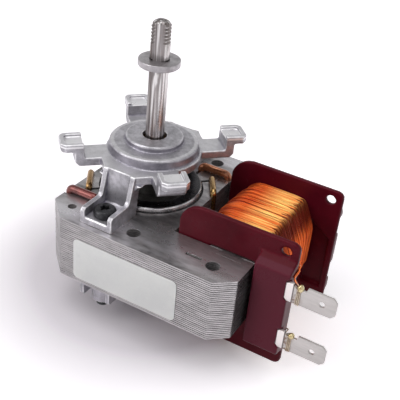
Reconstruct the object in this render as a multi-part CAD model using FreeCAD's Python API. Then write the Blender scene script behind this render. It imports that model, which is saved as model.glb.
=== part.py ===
import FreeCAD, Part
import math
import os
from FreeCAD import Vector

# Shaded-pole fan motor for an oven: a C-shaped lamination stack closed by a keyed leg that carries the
# bobbin, two cast brackets with self-aligning sintered bushes, and a squirrel-cage rotor on its shaft.
# Everything is drawn in millimetres with z = 0 on the stack's top face and the shaft on the Z axis.
# On export it is lowered once, so that the origin lies on the plane where the bracket's hooks bear.

# Fits and clearances
seat_gap = 0.03             # between pieces that are pressed or keyed together
slide_gap = 0.15            # bobbin over the leg, rings in their slots
free_gap = 0.3              # pieces that only lie next to each other
running_gap = 0.03          # radial, shaft in its bushes
end_float = 0.3             # axial play of the rotor at each bush
overcut = 1.0               # how far a cutter runs past what it cuts
air_gap = 0.35              # rotor to bore

# Lamination stack
stack_height = 20.0
bore_radius = 16.0
leg_width = 13.8
pole_wall = 14.9            # from the bore to the stack's side
arm_width = 14.1
yoke_wall = 2.3             # from the bore to the closed end
window_wall = 2.5           # from the bore to the coil window
coil_clearance = 5.5        # from the window's closed side to the coil
coil_build = (6.1, 4.9)     # coil beyond the leg, towards the shaft and away from it
yoke_chamfer = (7.3, 7.0)
tip_chamfer = (5.3, 4.6)
outline_radius = 1.2
bolt_hole_radius = 2.05
bolt_hole_wall = 8.5        # from the bore
bolt_hole_tip = 8.7
bolt_hole_spacing = 25.4
clinch_size = (5.0, 1.0, 0.4)
clinch_inset = (15.0, 7.1)
dimple_radius = 1.3
dimple_inset = (6.5, 6.8)

stack_half_width = bore_radius + pole_wall
yoke_end = bore_radius + yoke_wall
window_edge = bore_radius + window_wall
arm_tip = window_edge + coil_clearance + coil_build[0] + leg_width
arm_inner = stack_half_width - arm_width
stack_middle = -stack_height / 2
bolt_hole_y = bore_radius + bolt_hole_wall
bolt_hole_x = (arm_tip - bolt_hole_tip - bolt_hole_spacing, arm_tip - bolt_hole_tip)

# Keyed leg that closes the C inside the bobbin, flush with the arms' tips
key_root = 6.0
key_end = 7.6
key_depth = 2.2
key_overlap = 0.5
leg_centre = arm_tip - leg_width / 2

# Shading rings: two thick and two thin, each pair turned half a turn about the shaft
leg_half_width = 5.3        # of the brackets' legs, which the thick rings clear
thick_wire_radius = 1.25
thick_ring_wall = 2.0       # from the bore to the ring's plane
thick_ring_clear = 1.05     # from the bracket's leg to the ring
thick_ring_edge = 1.1       # from the ring's outer leg to the closed end
thin_wire_radius = 1.0
thin_ring_wall = 2.8
thin_ring_angle = 212.0
thin_ring_share = 0.26875   # half the thin ring's span over the bore's radius
ring_lift = 0.1             # wire clear of the stack's faces, and the inner radius of its bends
slit_width = 1.0
slit_overrun = 1.0

thick_ring_y = bore_radius + thick_ring_wall
thick_ring_inner = leg_half_width + thick_ring_clear + thick_wire_radius
thick_ring_span = (-yoke_end + thick_ring_edge, -thick_ring_inner)
thin_ring_half_span = bore_radius * thin_ring_share
thin_ring_distance = bore_radius + thin_ring_wall

# Rotor
rotor_height = 18.0
end_ring_step = 0.65        # end ring inside the rotor's outer face
end_ring_width = 3.6
end_ring_height = 2.4
end_ring_edge = 0.35
cage_bars = 17
bar_radius = 1.0
bar_skew = 14.0
bar_overrun = 0.5
rotor_radius = bore_radius - air_gap
rotor_top = stack_middle + rotor_height / 2
end_ring_radius = rotor_radius - end_ring_step
end_ring_inner = end_ring_radius - end_ring_width
bar_circle = end_ring_radius - bar_radius - 0.3

# Shaft and what sits on it
shaft_radius = 2.8
shaft_tip = 52.95
shaft_dome = 1.5
dome_step = 0.8
shaft_chamfer = 0.5
thread_length = 5.6
thread_relief = 0.2
flat_distance = 2.12
flat_heading = -72.0
washer_radius = 6.04
washer_top = 41.5
washer_thickness = 1.9
washer_edge = 0.15
neck_depth = 0.3            # relief at the root of the flat, round the washer's seat
neck_rise = 0.3
spacer_radius = 4.6
thrust_radius = 5.3
thrust_thickness = 0.8

# Bushes, felts and clips inside the hubs
bush_sphere = 6.0
bush_length = 7.1
bush_depth = 5.3            # centre of the ball below the boss face
bush_seat_gap = 0.06
felt_width = 1.1
felt_height = 2.4
clip_thickness = 0.5
clip_drop = 2.7             # top of the clip below the ball's centre
clip_slots = 6
clip_slot = (0.9, 1.0)
pocket_radius = bush_sphere + felt_width + 0.1
felt_outer = pocket_radius - 0.05

# Cast brackets
plate_thickness = 2.6
plate_step = 1.7            # plate inside the bore's radius
disc_step = 0.97
draft = 0.25
boss_radius = 8.64
shaft_hole_radius = 3.6
boss_wall = 1.4
cast_edge = 0.45
leg_wall = 2.6
foot_overhang = 4.6         # from the screw to the foot's end
leg_to_screw = (6.7, 5.8, 8.0)  # top of the wall, its outer and its inner foot
web_corner = 3.3
rib_thickness = 1.45
rib_to_screw = 4.0
rib_lean = 0.3
rib_chamfer = 0.8
rib_round = 1.6
foot_thickness = 2.2
gusset = 2.5
collar_margin = 0.6
front_heights = {"plate": 10.4, "disc": 15.9, "boss": 17.7, "rib": 4.9, "screw_boss": 0.0}
rear_heights = {"plate": 7.4, "disc": 12.6, "boss": 14.5, "rib": 6.0, "screw_boss": 7.4}
screw_boss_radius = 3.3
plate_radius = bore_radius - plate_step
disc_radius = plate_radius - disc_step
foot_end = bolt_hole_y + foot_overhang
leg_reach = bolt_hole_y - leg_to_screw[0]
leg_outer_foot = bolt_hole_y - leg_to_screw[1]
leg_inner_foot = bolt_hole_y - leg_to_screw[2]
leg_inner_top = leg_reach - leg_wall
rib_elbow = bolt_hole_y - rib_to_screw

# Bayonet hooks of the front bracket
hook_angles = (45.0, 135.0, 225.0, 315.0)
hook_width = 8.0
hook_neck = (21.3, 2.7)     # inner face, thickness
hook_tab = (3.9, 2.5)       # reach beyond the neck, thickness
hook_bearing = 15.0
hook_corner = 1.3
hook_rim = 1.4
hook_pocket_depth = 0.9
hook_pocket_round = 0.8
hook_rounds = (0.4, 0.3, 0.5)
neck_outer = hook_neck[0] + hook_neck[1]
hook_reach = neck_outer + hook_tab[0]
hook_top = hook_bearing + hook_tab[1]

# Bracket screws
screw_radius = 1.95
screw_reach = 10.2          # below the stack
screw_point = 0.5
screw_head_radius = 3.3
screw_head_height = 2.3
screw_dome = 0.8
socket_radius = 1.5
socket_depth = 1.4
screw_end = -stack_height - screw_reach

# Bobbin
tube_wall = 1.0
flange_thickness = 1.5
flange_margin = 1.0         # from the window's closed side
flange_overhang = 11.8      # beyond the arms' tips
flange_top = 10.4
flange_drop = 11.2          # below the stack
flange_round = 7.0
flange_corner = 2.0
flange_hole_inset = (3.7, 3.2)
flange_hole_radius = 1.5
block_clearance = 1.3       # from the arm's tip
block_depth = 4.1           # beyond the flange, terminal side
plain_block_depth = 1.5     # the same block, shallower, on the far flange
block_top = 3.3
block_shoulder = 5.6
block_drop = 4.4            # below the stack
block_toe = 1.2
block_root = 0.2
block_rounds = (0.6, 0.8)
notch_size = (0.9, 1.7, 3.3)
recess_wall = 1.8
recess_top = 4.5            # from the block's top
recess_floor = (2.8, 1.4)   # left between the hollow and the block's face, terminal side first
recess_diagonal = (7.0, 5.0)
recess_round = 0.5
flange_outer = arm_inner - free_gap
flange_inner = flange_outer - flange_thickness
flange_near = window_edge + flange_margin
flange_far = arm_tip + flange_overhang
flange_bottom = -stack_height - flange_drop
block_near = arm_tip + block_clearance
block_face = flange_outer + block_depth
plain_block_face = flange_outer + plain_block_depth
block_bottom = -stack_height - block_drop

# Winding, described in the X-Z plane by its flat top and its bulged outer side
coil_end_gap = 0.1
coil_slope = 3.2
coil_top = 5.0
coil_bulge_height = 6.5
coil_crown = 0.6
coil_rounds = (5.0, 3.0, 7.0)
ridge_count = 30
ridge_height = 0.22
coil_near = leg_centre - leg_width / 2 - coil_build[0]
coil_far = leg_centre + leg_width / 2 + coil_build[1]
coil_shoulder = coil_far - coil_slope

# Terminals and coil ends
terminal_thickness = 0.8
terminal_depth = 0.6        # middle of the blade inside the block's face
terminal_drop = 1.5         # upper terminal below the stack's top
terminal_rise = 2.0         # lower terminal above the stack's bottom
terminal_root = 3.2         # inside the block
root_half_height = 2.5
root_steps = (0.1, 0.7)
plate_reach = 1.5
plate_slope = 0.4
plate_drop = 0.3
neck_length = 3.7
neck_drop = 1.3
tab_height = 6.3
tab_length = 8.3
tab_chamfer = 1.2
tab_hole_inset = 4.0
tab_hole_radius = 0.85
lead_radius = 0.25
lead_bend = 0.8
lead_clear = 0.15
lead_rise = (0.9, 0.6)
lead_reach = (0.7, 1.3)
solder_radius = 1.1
solder_place = (1.55, 0.4)  # back from the tab, above the neck
terminal_plane = -block_face + terminal_depth
terminal_heights = (-terminal_drop, -stack_height + terminal_rise)
blade_root = flange_far - terminal_root
plate_end = flange_far + plate_reach
tab_start = plate_end + neck_length
tab_tip = tab_start + tab_length

# Rating label, left bare
label_size = (34.4, 13.6)
label_place = (11.1, -1.7)  # middle along X, and below the middle of the stack
label_thickness = 0.15
label_corner = 1.5

axis_z = Vector(0, 0, 1)


def corner(before, point, after, radius):
    """Start, middle and end of the arc that rounds one corner."""
    to_before = (before - point).normalize()
    to_after = (after - point).normalize()
    half = to_before.getAngle(to_after) / 2
    reach = radius / math.tan(half)
    bisector = (to_before + to_after).normalize()
    middle = point + bisector * (radius / math.sin(half) - radius)
    return point + to_before * reach, middle, point + to_after * reach


def rounded_path(points, radii, closed):
    """Straight runs joined by tangent arcs, one radius for each point (0 keeps it sharp)."""
    count = len(points)
    stops = []
    for i, point in enumerate(points):
        inner = closed or 0 < i < count - 1
        if inner and radii[i] > 0:
            stops.append(corner(points[i - 1], point, points[(i + 1) % count], radii[i]))
        else:
            stops.append((point, None, point))
    edges = []
    for i, (start, middle, end) in enumerate(stops):
        if middle is not None:
            edges.append(Part.Arc(start, middle, end).toShape())
        if closed or i < count - 1:
            following = stops[(i + 1) % count][0]
            if (following - end).Length > 1e-6:
                edges.append(Part.LineSegment(end, following).toShape())
    return Part.Wire(edges)


def prism(points, radii, direction):
    """Straight solid on a rounded outline; radii is one number or one for each point."""
    if not isinstance(radii, (list, tuple)):
        radii = [radii] * len(points)
    return Part.Face(rounded_path(points, radii, True)).extrude(direction)


def plan(pairs, z):
    return [Vector(x, y, z) for x, y in pairs]


def profile_xz(pairs, y):
    return [Vector(x, y, z) for x, z in pairs]


def profile_yz(pairs, x):
    return [Vector(x, y, z) for y, z in pairs]


def disc(radius, z_low, z_high, x=0.0, y=0.0):
    return Part.makeCylinder(radius, z_high - z_low, Vector(x, y, z_low), axis_z)


def ring(outer, inner, z_low, z_high):
    return disc(outer, z_low, z_high).cut(disc(inner, z_low, z_high))


def box(x_range, y_range, z_range):
    size = [high - low for low, high in (x_range, y_range, z_range)]
    return Part.makeBox(*size, Vector(x_range[0], y_range[0], z_range[0]))


def turned(pairs):
    """Solid of revolution about the shaft axis from (radius, z) pairs."""
    outline = Part.makePolygon([Vector(r, 0, z) for r, z in pairs + pairs[:1]])
    return Part.Face(outline).revolve(Vector(0, 0, 0), axis_z, 360)


def spun(shape, degrees):
    copy = shape.copy()
    copy.rotate(Vector(0, 0, 0), axis_z, degrees)
    return copy


def opposite(shape):
    """Mirror image across the X-Z plane."""
    return shape.mirror(Vector(0, 0, 0), Vector(0, 1, 0))


def both_sides(shape):
    return [shape, opposite(shape)]


def to_rear(shape):
    """A piece drawn on the stack's top face, turned over to the bottom face."""
    return shape.mirror(Vector(0, 0, stack_middle), axis_z)


def tube_along(points, radius, bend):
    """Round wire along straight runs with tangent bends."""
    radii = [bend] * len(points)
    path = rounded_path(points, radii, False)
    start_direction = (points[1] - points[0]).normalize()
    circle = Part.Wire(Part.makeCircle(radius, points[0], start_direction))
    return path.makePipeShell([circle], True, False)


def stack_outline():
    half, dx, dy = stack_half_width, yoke_chamfer[0], yoke_chamfer[1]
    tx, ty = tip_chamfer
    lower = [(-yoke_end + dx, -half), (arm_tip - tx, -half), (arm_tip, -half + ty), (arm_tip, -arm_inner),
             (window_edge, -arm_inner)]
    upper = [(x, -y) for x, y in reversed(lower)]
    ends = [(-yoke_end, half - dy), (-yoke_end, -half + dy)]
    radii = [outline_radius, outline_radius, outline_radius, 0, 0]
    return lower + upper + ends, radii + radii[::-1] + [outline_radius] * 2


def key_outline(extra):
    """Dovetail at the leg's end, grown by a clearance where it is cut into the arm."""
    root, end, depth = key_root / 2 + extra, key_end / 2 + extra, key_depth + extra
    y = -arm_inner
    start = y + key_overlap
    return [(leg_centre - root, start), (leg_centre + root, start), (leg_centre + root, y),
            (leg_centre + end, y - depth), (leg_centre - end, y - depth), (leg_centre - root, y)]


def thin_ring_legs():
    """Places of the thin ring's two legs, the near one first."""
    angle = math.radians(thin_ring_angle)
    centre = Vector(math.cos(angle), math.sin(angle), 0) * thin_ring_distance
    along = Vector(-math.sin(angle), math.cos(angle), 0) * thin_ring_half_span
    return centre + along, centre - along


def slot_between(start, end, width):
    """Through slot in the stack from one point to another."""
    direction = (end - start).normalize()
    side = Vector(-direction.y, direction.x, 0) * (width / 2)
    low = Vector(0, 0, -stack_height - overcut)
    corners = [start + side + low, end + side + low, end - side + low, start - side + low]
    return prism(corners, 0, Vector(0, 0, stack_height + 2 * overcut))


def shading_slots():
    """Slots for one thick and one thin ring; the inner ones open into the bore by a slit."""
    outer_x, inner_x = thick_ring_span
    y = -thick_ring_y
    bore_end = bore_radius - slit_overrun
    thick = thick_wire_radius + slide_gap
    thin = thin_wire_radius + slide_gap
    near, far = thin_ring_legs()
    cuts = [disc(thick, -stack_height - overcut, overcut, outer_x, y), disc(thick, -stack_height - overcut, overcut, inner_x, y)]
    cuts.append(slot_between(Vector(outer_x, y, 0), Vector(-yoke_end - 2, y, 0), 2 * thick))
    bore_point = Vector(inner_x, -math.sqrt(bore_end ** 2 - inner_x ** 2), 0)
    cuts.append(slot_between(Vector(inner_x, y, 0), bore_point, slit_width))
    outer, inner = sorted((near, far), key=lambda point: point.x)
    cuts.append(disc(thin, -stack_height - overcut, overcut, outer.x, outer.y))
    cuts.append(disc(thin, -stack_height - overcut, overcut, inner.x, inner.y))
    cuts.append(slot_between(outer, Vector(-yoke_end - 2, outer.y, 0), 2 * thin))
    cuts.append(slot_between(inner, inner * (bore_end / inner.Length), slit_width))
    return cuts


def stator_core():
    pairs, radii = stack_outline()
    core = prism(plan(pairs, -stack_height), radii, Vector(0, 0, stack_height))
    cuts = [disc(bore_radius, -stack_height, 0)]
    for x in (0.0,) + bolt_hole_x:
        for y in (-bolt_hole_y, bolt_hole_y):
            cuts.append(disc(bolt_hole_radius, -stack_height, 0, x, y))
    cuts += both_sides(prism(plan(key_outline(seat_gap), -stack_height), 0, Vector(0, 0, stack_height)))
    slots = shading_slots()
    cuts += slots[:2] + slots[3:6] + slots[7:]
    cuts += [spun(slot, 180) for slot in (slots[0], slots[1], slots[3], slots[4], slots[5], slots[7])]
    notches = [slots[2], slots[6], spun(slots[6], 180)]
    length, width, depth = clinch_size
    x, y = arm_tip - clinch_inset[0], -stack_half_width + clinch_inset[1]
    cuts += both_sides(box((x - length / 2, x + length / 2), (y - width / 2, y + width / 2), (-depth, 0)))
    x, y = -yoke_end + dimple_inset[0], -stack_half_width + dimple_inset[1]
    cuts += both_sides(disc(dimple_radius, -depth, 0, x, y))
    return core.cut(cuts + notches)


def coil_core():
    half = leg_width / 2
    reach = arm_inner - seat_gap
    leg = box((leg_centre - half, leg_centre + half), (-reach, reach), (-stack_height, 0))
    keys = both_sides(prism(plan(key_outline(0.0), -stack_height), 0, Vector(0, 0, stack_height)))
    return leg.fuse(keys).removeSplitter()


def closed_ring(first, second, wire_radius):
    """Rectangular wire ring around the pole between two legs."""
    rise = wire_radius + ring_lift
    across = (second - first).normalize()
    middle = (first + second) * 0.5
    top, bottom = Vector(0, 0, rise), Vector(0, 0, -stack_height - rise)
    start = middle + top
    points = [start, second + top, second + bottom, first + bottom, first + top, start]
    path = rounded_path(points, [rise] * len(points), False)
    circle = Part.Wire(Part.makeCircle(wire_radius, start, across))
    shape = path.makePipeShell([circle], False, False)
    return Part.Solid(Part.Shell(shape.Faces))


def thick_ring():
    outer_x, inner_x = thick_ring_span
    first, second = Vector(outer_x, -thick_ring_y, 0), Vector(inner_x, -thick_ring_y, 0)
    return closed_ring(first, second, thick_wire_radius)


def thin_ring():
    near, far = thin_ring_legs()
    return closed_ring(near, far, thin_wire_radius)


def hook():
    """One bayonet hook, drawn along +X: arm, neck and a tab with a rim open towards the hub."""
    neck_inner = hook_neck[0]
    plate = front_heights["plate"]
    arm_top = plate + plate_thickness
    half = hook_width / 2
    edge, root, foot = hook_rounds
    side = [(boss_radius, plate), (neck_outer - hook_corner, plate), (neck_outer, plate + hook_corner),
            (neck_outer, hook_bearing), (hook_reach, hook_bearing), (hook_reach, hook_top),
            (neck_inner, hook_top), (neck_inner, arm_top), (boss_radius, arm_top)]
    radii = [0, 0, 0, edge, root, edge, root, foot, 0]
    body = prism(profile_xz(side, -half), radii, Vector(0, hook_width, 0))
    floor = hook_top - hook_pocket_depth
    reach, side = hook_reach - hook_rim, half - hook_rim
    pocket = plan([(neck_inner - 1, -side), (reach, -side), (reach, side), (neck_inner - 1, side)], floor)
    radii = [0, hook_pocket_round, hook_pocket_round, 0]
    cuts = [prism(pocket, radii, Vector(0, 0, hook_pocket_depth + 1))]
    for sign in (-1, 1):
        tip = [(hook_reach - hook_corner, sign * half), (hook_reach + 1, sign * half),
               (hook_reach + 1, sign * (half - hook_corner - 1))]
        cuts.append(prism(plan(tip, plate), 0, Vector(0, 0, hook_top)))
    return body.cut(cuts)


def bracket_leg(heights):
    """Leg on the -Y side: a sloping wall between two ribs, and a flat foot for the screw."""
    plate = heights["plate"]
    top = plate + plate_thickness
    rib = heights["rib"]
    half = leg_half_width
    wall = [(-leg_inner_top, plate), (-leg_inner_foot, 0), (-foot_end, 0), (-foot_end, foot_thickness),
            (-leg_outer_foot, foot_thickness), (-leg_reach, top), (-leg_inner_top, top)]
    radii = [0, 0, 0, cast_edge / 2, 2 * cast_edge, 0, 0]
    shapes = [prism(profile_yz(wall, -half), radii, Vector(2 * half, 0, 0))]
    edge = [(-leg_inner_top, plate), (-leg_inner_foot, 0), (-foot_end, 0), (-foot_end, rib - rib_chamfer),
            (-foot_end + rib_chamfer, rib), (-rib_elbow, rib), (-leg_reach - rib_lean, top),
            (-leg_inner_top, top)]
    for x in (-half, half - rib_thickness):
        shapes.append(prism(profile_yz(edge, x), [0, 0, 0, 0, 0, rib_round, 0, 0], Vector(rib_thickness, 0, 0)))
    for sign in (-1, 1):
        x = sign * half
        corner_face = [(x, plate), (x + sign * gusset, plate), (x, plate - gusset)]
        wedge = prism(profile_xz(corner_face, -leg_reach), 0, Vector(0, leg_reach - leg_inner_top, 0))
        scoop = Part.makeCylinder(gusset, leg_reach, Vector(x + sign * gusset, -leg_reach, plate - gusset),
                                  Vector(0, 1, 0))
        shapes.append(wedge.cut(scoop))
    if heights["screw_boss"] > 0:
        shapes.append(disc(screw_boss_radius, 0, heights["screw_boss"], 0, -bolt_hole_y))
    return shapes


def hub_pocket(heights):
    """Room for the bush, felt and clip, open towards the rotor."""
    boss = heights["boss"]
    centre = boss - bush_depth
    roof = boss - boss_wall
    ball = Part.makeSphere(bush_sphere + bush_seat_gap, Vector(0, 0, centre))
    ball = ball.common(disc(pocket_radius, centre - 1, roof))
    mouth = disc(pocket_radius, -1, centre)
    return [ball, mouth, disc(shaft_hole_radius, 0, boss + 1)]


def web_outline():
    half, reach, cut = leg_half_width, leg_reach, web_corner
    quarter = [(half, -reach), (half + cut, -reach + cut)]
    right = quarter + [(x, -y) for x, y in reversed(quarter)]
    return right + [(-x, y) for x, y in reversed(right)]


def bracket(heights, hooked):
    """Cast bracket drawn on the top face; the rear one is turned over afterwards."""
    plate = heights["plate"]
    top = plate + plate_thickness
    boss = heights["boss"]
    centre = boss - bush_depth
    body = disc(plate_radius, plate, top)
    web = prism(plan(web_outline(), plate), 0, Vector(0, 0, plate_thickness))
    raised = turned([(0, top), (disc_radius + draft, top), (disc_radius, heights["disc"] - cast_edge),
                     (disc_radius - cast_edge, heights["disc"]), (boss_radius, heights["disc"]),
                     (boss_radius, boss - cast_edge), (boss_radius - cast_edge, boss), (0, boss)])
    collar_end = centre - clip_drop - clip_thickness - collar_margin
    collar = disc(boss_radius, min(collar_end, plate), top)
    shapes = [web, raised, collar]
    for part in bracket_leg(heights):
        shapes += both_sides(part)
    if hooked:
        shapes += [spun(hook(), angle) for angle in hook_angles]
    body = body.fuse(shapes)
    cuts = hub_pocket(heights)
    cuts += both_sides(disc(bolt_hole_radius, -1, plate, 0, -bolt_hole_y))
    if heights["screw_boss"] > 0:
        threads = both_sides(disc(screw_radius + seat_gap, -1, plate + top, 0, -bolt_hole_y))
        cuts = cuts[:3] + threads
    return body.cut(cuts).removeSplitter()


def bush(heights):
    """Ball-ended sintered bush."""
    centre = heights["boss"] - bush_depth
    ball = Part.makeSphere(bush_sphere, Vector(0, 0, centre))
    barrel = disc(bush_sphere, centre - bush_length / 2, centre + bush_length / 2)
    return ball.common(barrel).cut(disc(shaft_radius + running_gap, 0, heights["boss"]))


def oil_felt(heights):
    centre = heights["boss"] - bush_depth
    return ring(felt_outer, bush_sphere + seat_gap, centre - felt_height, centre - seat_gap)


def bush_clip(heights):
    """Spring washer with slotted inner edge, pressed into the hub below the bush."""
    top = heights["boss"] - bush_depth - clip_drop
    inner = math.sqrt(bush_sphere ** 2 - clip_drop ** 2) + seat_gap
    clip = ring(pocket_radius - seat_gap, inner, top - clip_thickness, top)
    reach, width = clip_slot
    slot = box((inner - 1, inner + reach), (-width / 2, width / 2), (top - clip_thickness, top))
    return clip.cut([spun(slot, i * 360 / clip_slots) for i in range(clip_slots)])


def screw():
    """Pan-head screw with a six-lobed socket, through the stack into the rear bracket's boss."""
    seat = foot_thickness
    top = seat + screw_head_height
    profile = [(0, screw_end), (screw_radius - screw_point, screw_end), (screw_radius, screw_end + screw_point),
               (screw_radius, seat), (screw_head_radius, seat), (screw_head_radius, top - screw_dome),
               (screw_head_radius - screw_dome, top), (0, top)]
    floor = top - socket_depth
    lobe = disc(socket_radius * 0.3, floor, top, socket_radius * 0.75, 0)
    cuts = [disc(socket_radius * 0.72, floor, top)] + [spun(lobe, i * 60) for i in range(6)]
    body = turned(profile).cut(cuts)
    body.translate(Vector(0, -bolt_hole_y, 0))
    return body


def cage_bar(index):
    """One skewed bar between the end rings."""
    low = stack_middle - rotor_height / 2
    start_angle = math.radians(index * 360 / cage_bars)
    end_angle = start_angle + math.radians(bar_skew)
    start = Vector(bar_circle * math.cos(start_angle), bar_circle * math.sin(start_angle), low)
    end = Vector(bar_circle * math.cos(end_angle), bar_circle * math.sin(end_angle), rotor_top)
    direction = (end - start).normalize()
    length = (end - start).Length + 2 * bar_overrun
    return Part.makeCylinder(bar_radius, length, start - direction * bar_overrun, direction)


def rotor_core(bars):
    low = stack_middle - rotor_height / 2
    core = disc(rotor_radius, low, rotor_top)
    return core.cut([disc(shaft_radius, low, rotor_top)] + bars)


def rotor_cage(bars):
    """Cast rings joined by the bars."""
    top = rotor_top + end_ring_height
    edge = end_ring_edge
    profile = [(end_ring_inner, rotor_top), (end_ring_radius, rotor_top), (end_ring_radius, top - edge),
               (end_ring_radius - edge, top), (end_ring_inner + edge, top), (end_ring_inner, top - edge)]
    upper = turned(profile)
    return upper.fuse([to_rear(upper)] + bars).removeSplitter()


def shaft_blank():
    """Round shaft with its domed tip, the thread's length and the relief round the washer's seat."""
    low = -stack_height - rear_heights["boss"] + boss_wall / 2
    seat = washer_top - washer_thickness
    neck = shaft_radius - neck_depth
    neck_top = washer_top + neck_rise
    thread = shaft_radius - thread_relief
    thread_top = shaft_tip - shaft_dome
    thread_end = thread_top - thread_length
    return turned([(0, low), (shaft_radius - shaft_chamfer, low), (shaft_radius, low + shaft_chamfer),
                   (shaft_radius, seat), (neck, seat), (neck, neck_top), (shaft_radius, neck_top),
                   (shaft_radius, thread_end), (thread, thread_end + thread_relief), (thread, thread_top),
                   (thread - dome_step, shaft_tip - shaft_dome / 3), (0, shaft_tip)])


def flat_cutter(distance, z_low, z_high):
    """Block that leaves a flat at a distance from the axis, facing the flat's heading."""
    block = box((distance, 3 * shaft_radius), (-3 * shaft_radius, 3 * shaft_radius), (z_low, z_high))
    return spun(block, flat_heading)


def shaft():
    return shaft_blank().cut(flat_cutter(flat_distance, washer_top - washer_thickness, shaft_tip + 1))


def fan_washer():
    """Washer seated on the shoulder at the end of the shaft's flat, with a matching D-shaped hole."""
    low = washer_top - washer_thickness
    edge = washer_edge
    body = turned([(0, low), (washer_radius - edge, low), (washer_radius, low + edge),
                   (washer_radius, washer_top - edge), (washer_radius - edge, washer_top), (0, washer_top)])
    hole = disc(shaft_radius + seat_gap, low, washer_top)
    hole = hole.cut(flat_cutter(flat_distance + seat_gap, low, washer_top))
    return body.cut(hole)


def spacer(heights):
    """Sleeve that keeps the rotor clear of the bush."""
    bush_face = heights["boss"] - bush_depth - bush_length / 2
    top = bush_face - end_float - thrust_thickness
    return ring(spacer_radius, shaft_radius + seat_gap, rotor_top, top)


def thrust_washer(heights):
    top = heights["boss"] - bush_depth - bush_length / 2 - end_float
    return ring(thrust_radius, shaft_radius + seat_gap, top - thrust_thickness, top)


def flange_outline():
    low, high = flange_bottom, flange_top
    pairs = [(flange_near, low), (flange_far, low), (flange_far, high), (flange_near, high)]
    return pairs, [flange_round, flange_corner, flange_corner, flange_round]


def terminal_block(face):
    """Block on the flange's outside with a sloping shoulder, drawn on the terminal side."""
    outer = -flange_outer + block_root
    pairs = [(outer, block_shoulder), (-face, block_top), (-face, block_bottom),
             (outer, block_bottom - block_toe)]
    radii = [0, block_rounds[0], block_rounds[1], 0]
    return prism(profile_yz(pairs, block_near), radii, Vector(flange_far - block_near, 0, 0))


def blade_slot(z):
    half = terminal_thickness / 2 + seat_gap
    tall = root_half_height + seat_gap
    return box((blade_root - seat_gap, flange_far + 1), (terminal_plane - half, terminal_plane + half),
               (z - tall, z + tall))


def edge_notch(z, face):
    """Notch in the block's far edge where a terminal comes out."""
    reach, depth, rise = notch_size
    return box((flange_far - reach, flange_far + 1), (-face - 1, -face + depth), (z - rise, z + rise))


def block_recess(face, floor):
    """Moulded hollow behind the block, open to the winding side."""
    low, high = block_bottom, block_top - recess_top
    near, far = block_near + recess_wall, flange_far - recess_wall
    dx, dz = recess_diagonal
    pairs = [(near, low), (far, low), (far, high - dz), (far - dx, high), (near, high)]
    depth = face - flange_inner - floor
    return prism(profile_xz(pairs, -flange_inner), recess_round, Vector(0, -depth, 0))


def bobbin():
    half = leg_width / 2 + slide_gap
    inside = box((leg_centre - half, leg_centre + half), (-flange_outer - 1, flange_outer + 1),
                 (-stack_height - slide_gap, slide_gap))
    wall = half + tube_wall
    rise = slide_gap + tube_wall
    end = flange_inner + flange_thickness / 3
    tube = box((leg_centre - wall, leg_centre + wall), (-end, end), (-stack_height - rise, rise))
    pairs, radii = flange_outline()
    flange = prism(profile_xz(pairs, -flange_inner), radii, Vector(0, -flange_thickness, 0))
    hole_at = Vector(flange_far - flange_hole_inset[0], -flange_outer - 1, flange_top - flange_hole_inset[1])
    eyelet = Part.makeCylinder(flange_hole_radius, 2 * flange_outer + 2, hole_at, Vector(0, 1, 0))
    blocks = [terminal_block(block_face), opposite(terminal_block(plain_block_face))]
    body = tube.fuse(both_sides(flange) + blocks)
    cuts = [inside, eyelet, block_recess(block_face, recess_floor[0])]
    cuts.append(opposite(block_recess(plain_block_face, recess_floor[1])))
    for height in terminal_heights:
        cuts += [blade_slot(height), edge_notch(height, block_face)]
        cuts.append(opposite(edge_notch(height, plain_block_face)))
    return body.cut(cuts).removeSplitter()


def coil_section(y, grow):
    """Rounded outline of the winding at one place along its axis."""
    near, far = coil_near - grow, coil_far + grow
    shoulder = coil_shoulder + grow / 2
    top = coil_top + grow
    bottom = 2 * stack_middle - top
    bulge = coil_bulge_height
    pairs = [(near, top), (shoulder, top), (far, stack_middle + bulge), (far, stack_middle - bulge),
             (shoulder, bottom), (near, bottom)]
    edge, ridge, side = coil_rounds
    return rounded_path(profile_xz(pairs, y), [edge, ridge, side, side, ridge, edge], True)


def coil_winding():
    """Crowned winding whose surface shows its strands as ridges round the bobbin."""
    reach = flange_inner - coil_end_gap
    sections = []
    for i in range(2 * ridge_count + 1):
        y = -reach + i * reach / ridge_count
        crown = coil_crown * (1 - (y / reach) ** 2)
        sections.append(coil_section(y, crown + ridge_height * (i % 2)))
    body = Part.makeLoft(sections, True, True)
    half = leg_width / 2 + slide_gap + tube_wall + seat_gap
    rise = slide_gap + tube_wall + seat_gap
    core = box((leg_centre - half, leg_centre + half), (-flange_outer, flange_outer),
               (-stack_height - rise, rise))
    return body.cut(core)


def terminal(z):
    """Tab with a notched neck for the coil end and a root held in the block."""
    half = tab_height / 2
    neck_top = half - neck_drop
    plate_top = half - plate_drop
    shoulder = flange_far - notch_size[0]
    near, far = shoulder + root_steps[0], shoulder + root_steps[1]
    pairs = [(blade_root, -root_half_height), (near, -root_half_height), (far, -half),
             (tab_tip - tab_chamfer, -half), (tab_tip, -half + tab_chamfer), (tab_tip, half - tab_chamfer),
             (tab_tip - tab_chamfer, half), (tab_start, half), (tab_start - plate_slope, neck_top),
             (plate_end + plate_slope, neck_top), (plate_end - plate_slope, plate_top), (far, plate_top),
             (near, root_half_height), (blade_root, root_half_height)]
    place = terminal_plane - terminal_thickness / 2
    blade = prism(profile_xz([(x, z + dz) for x, dz in pairs], place), 0, Vector(0, terminal_thickness, 0))
    hole_at = Vector(tab_tip - tab_hole_inset, place - 1, z)
    return blade.cut(Part.makeCylinder(tab_hole_radius, terminal_thickness + 2, hole_at, Vector(0, 1, 0)))


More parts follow.
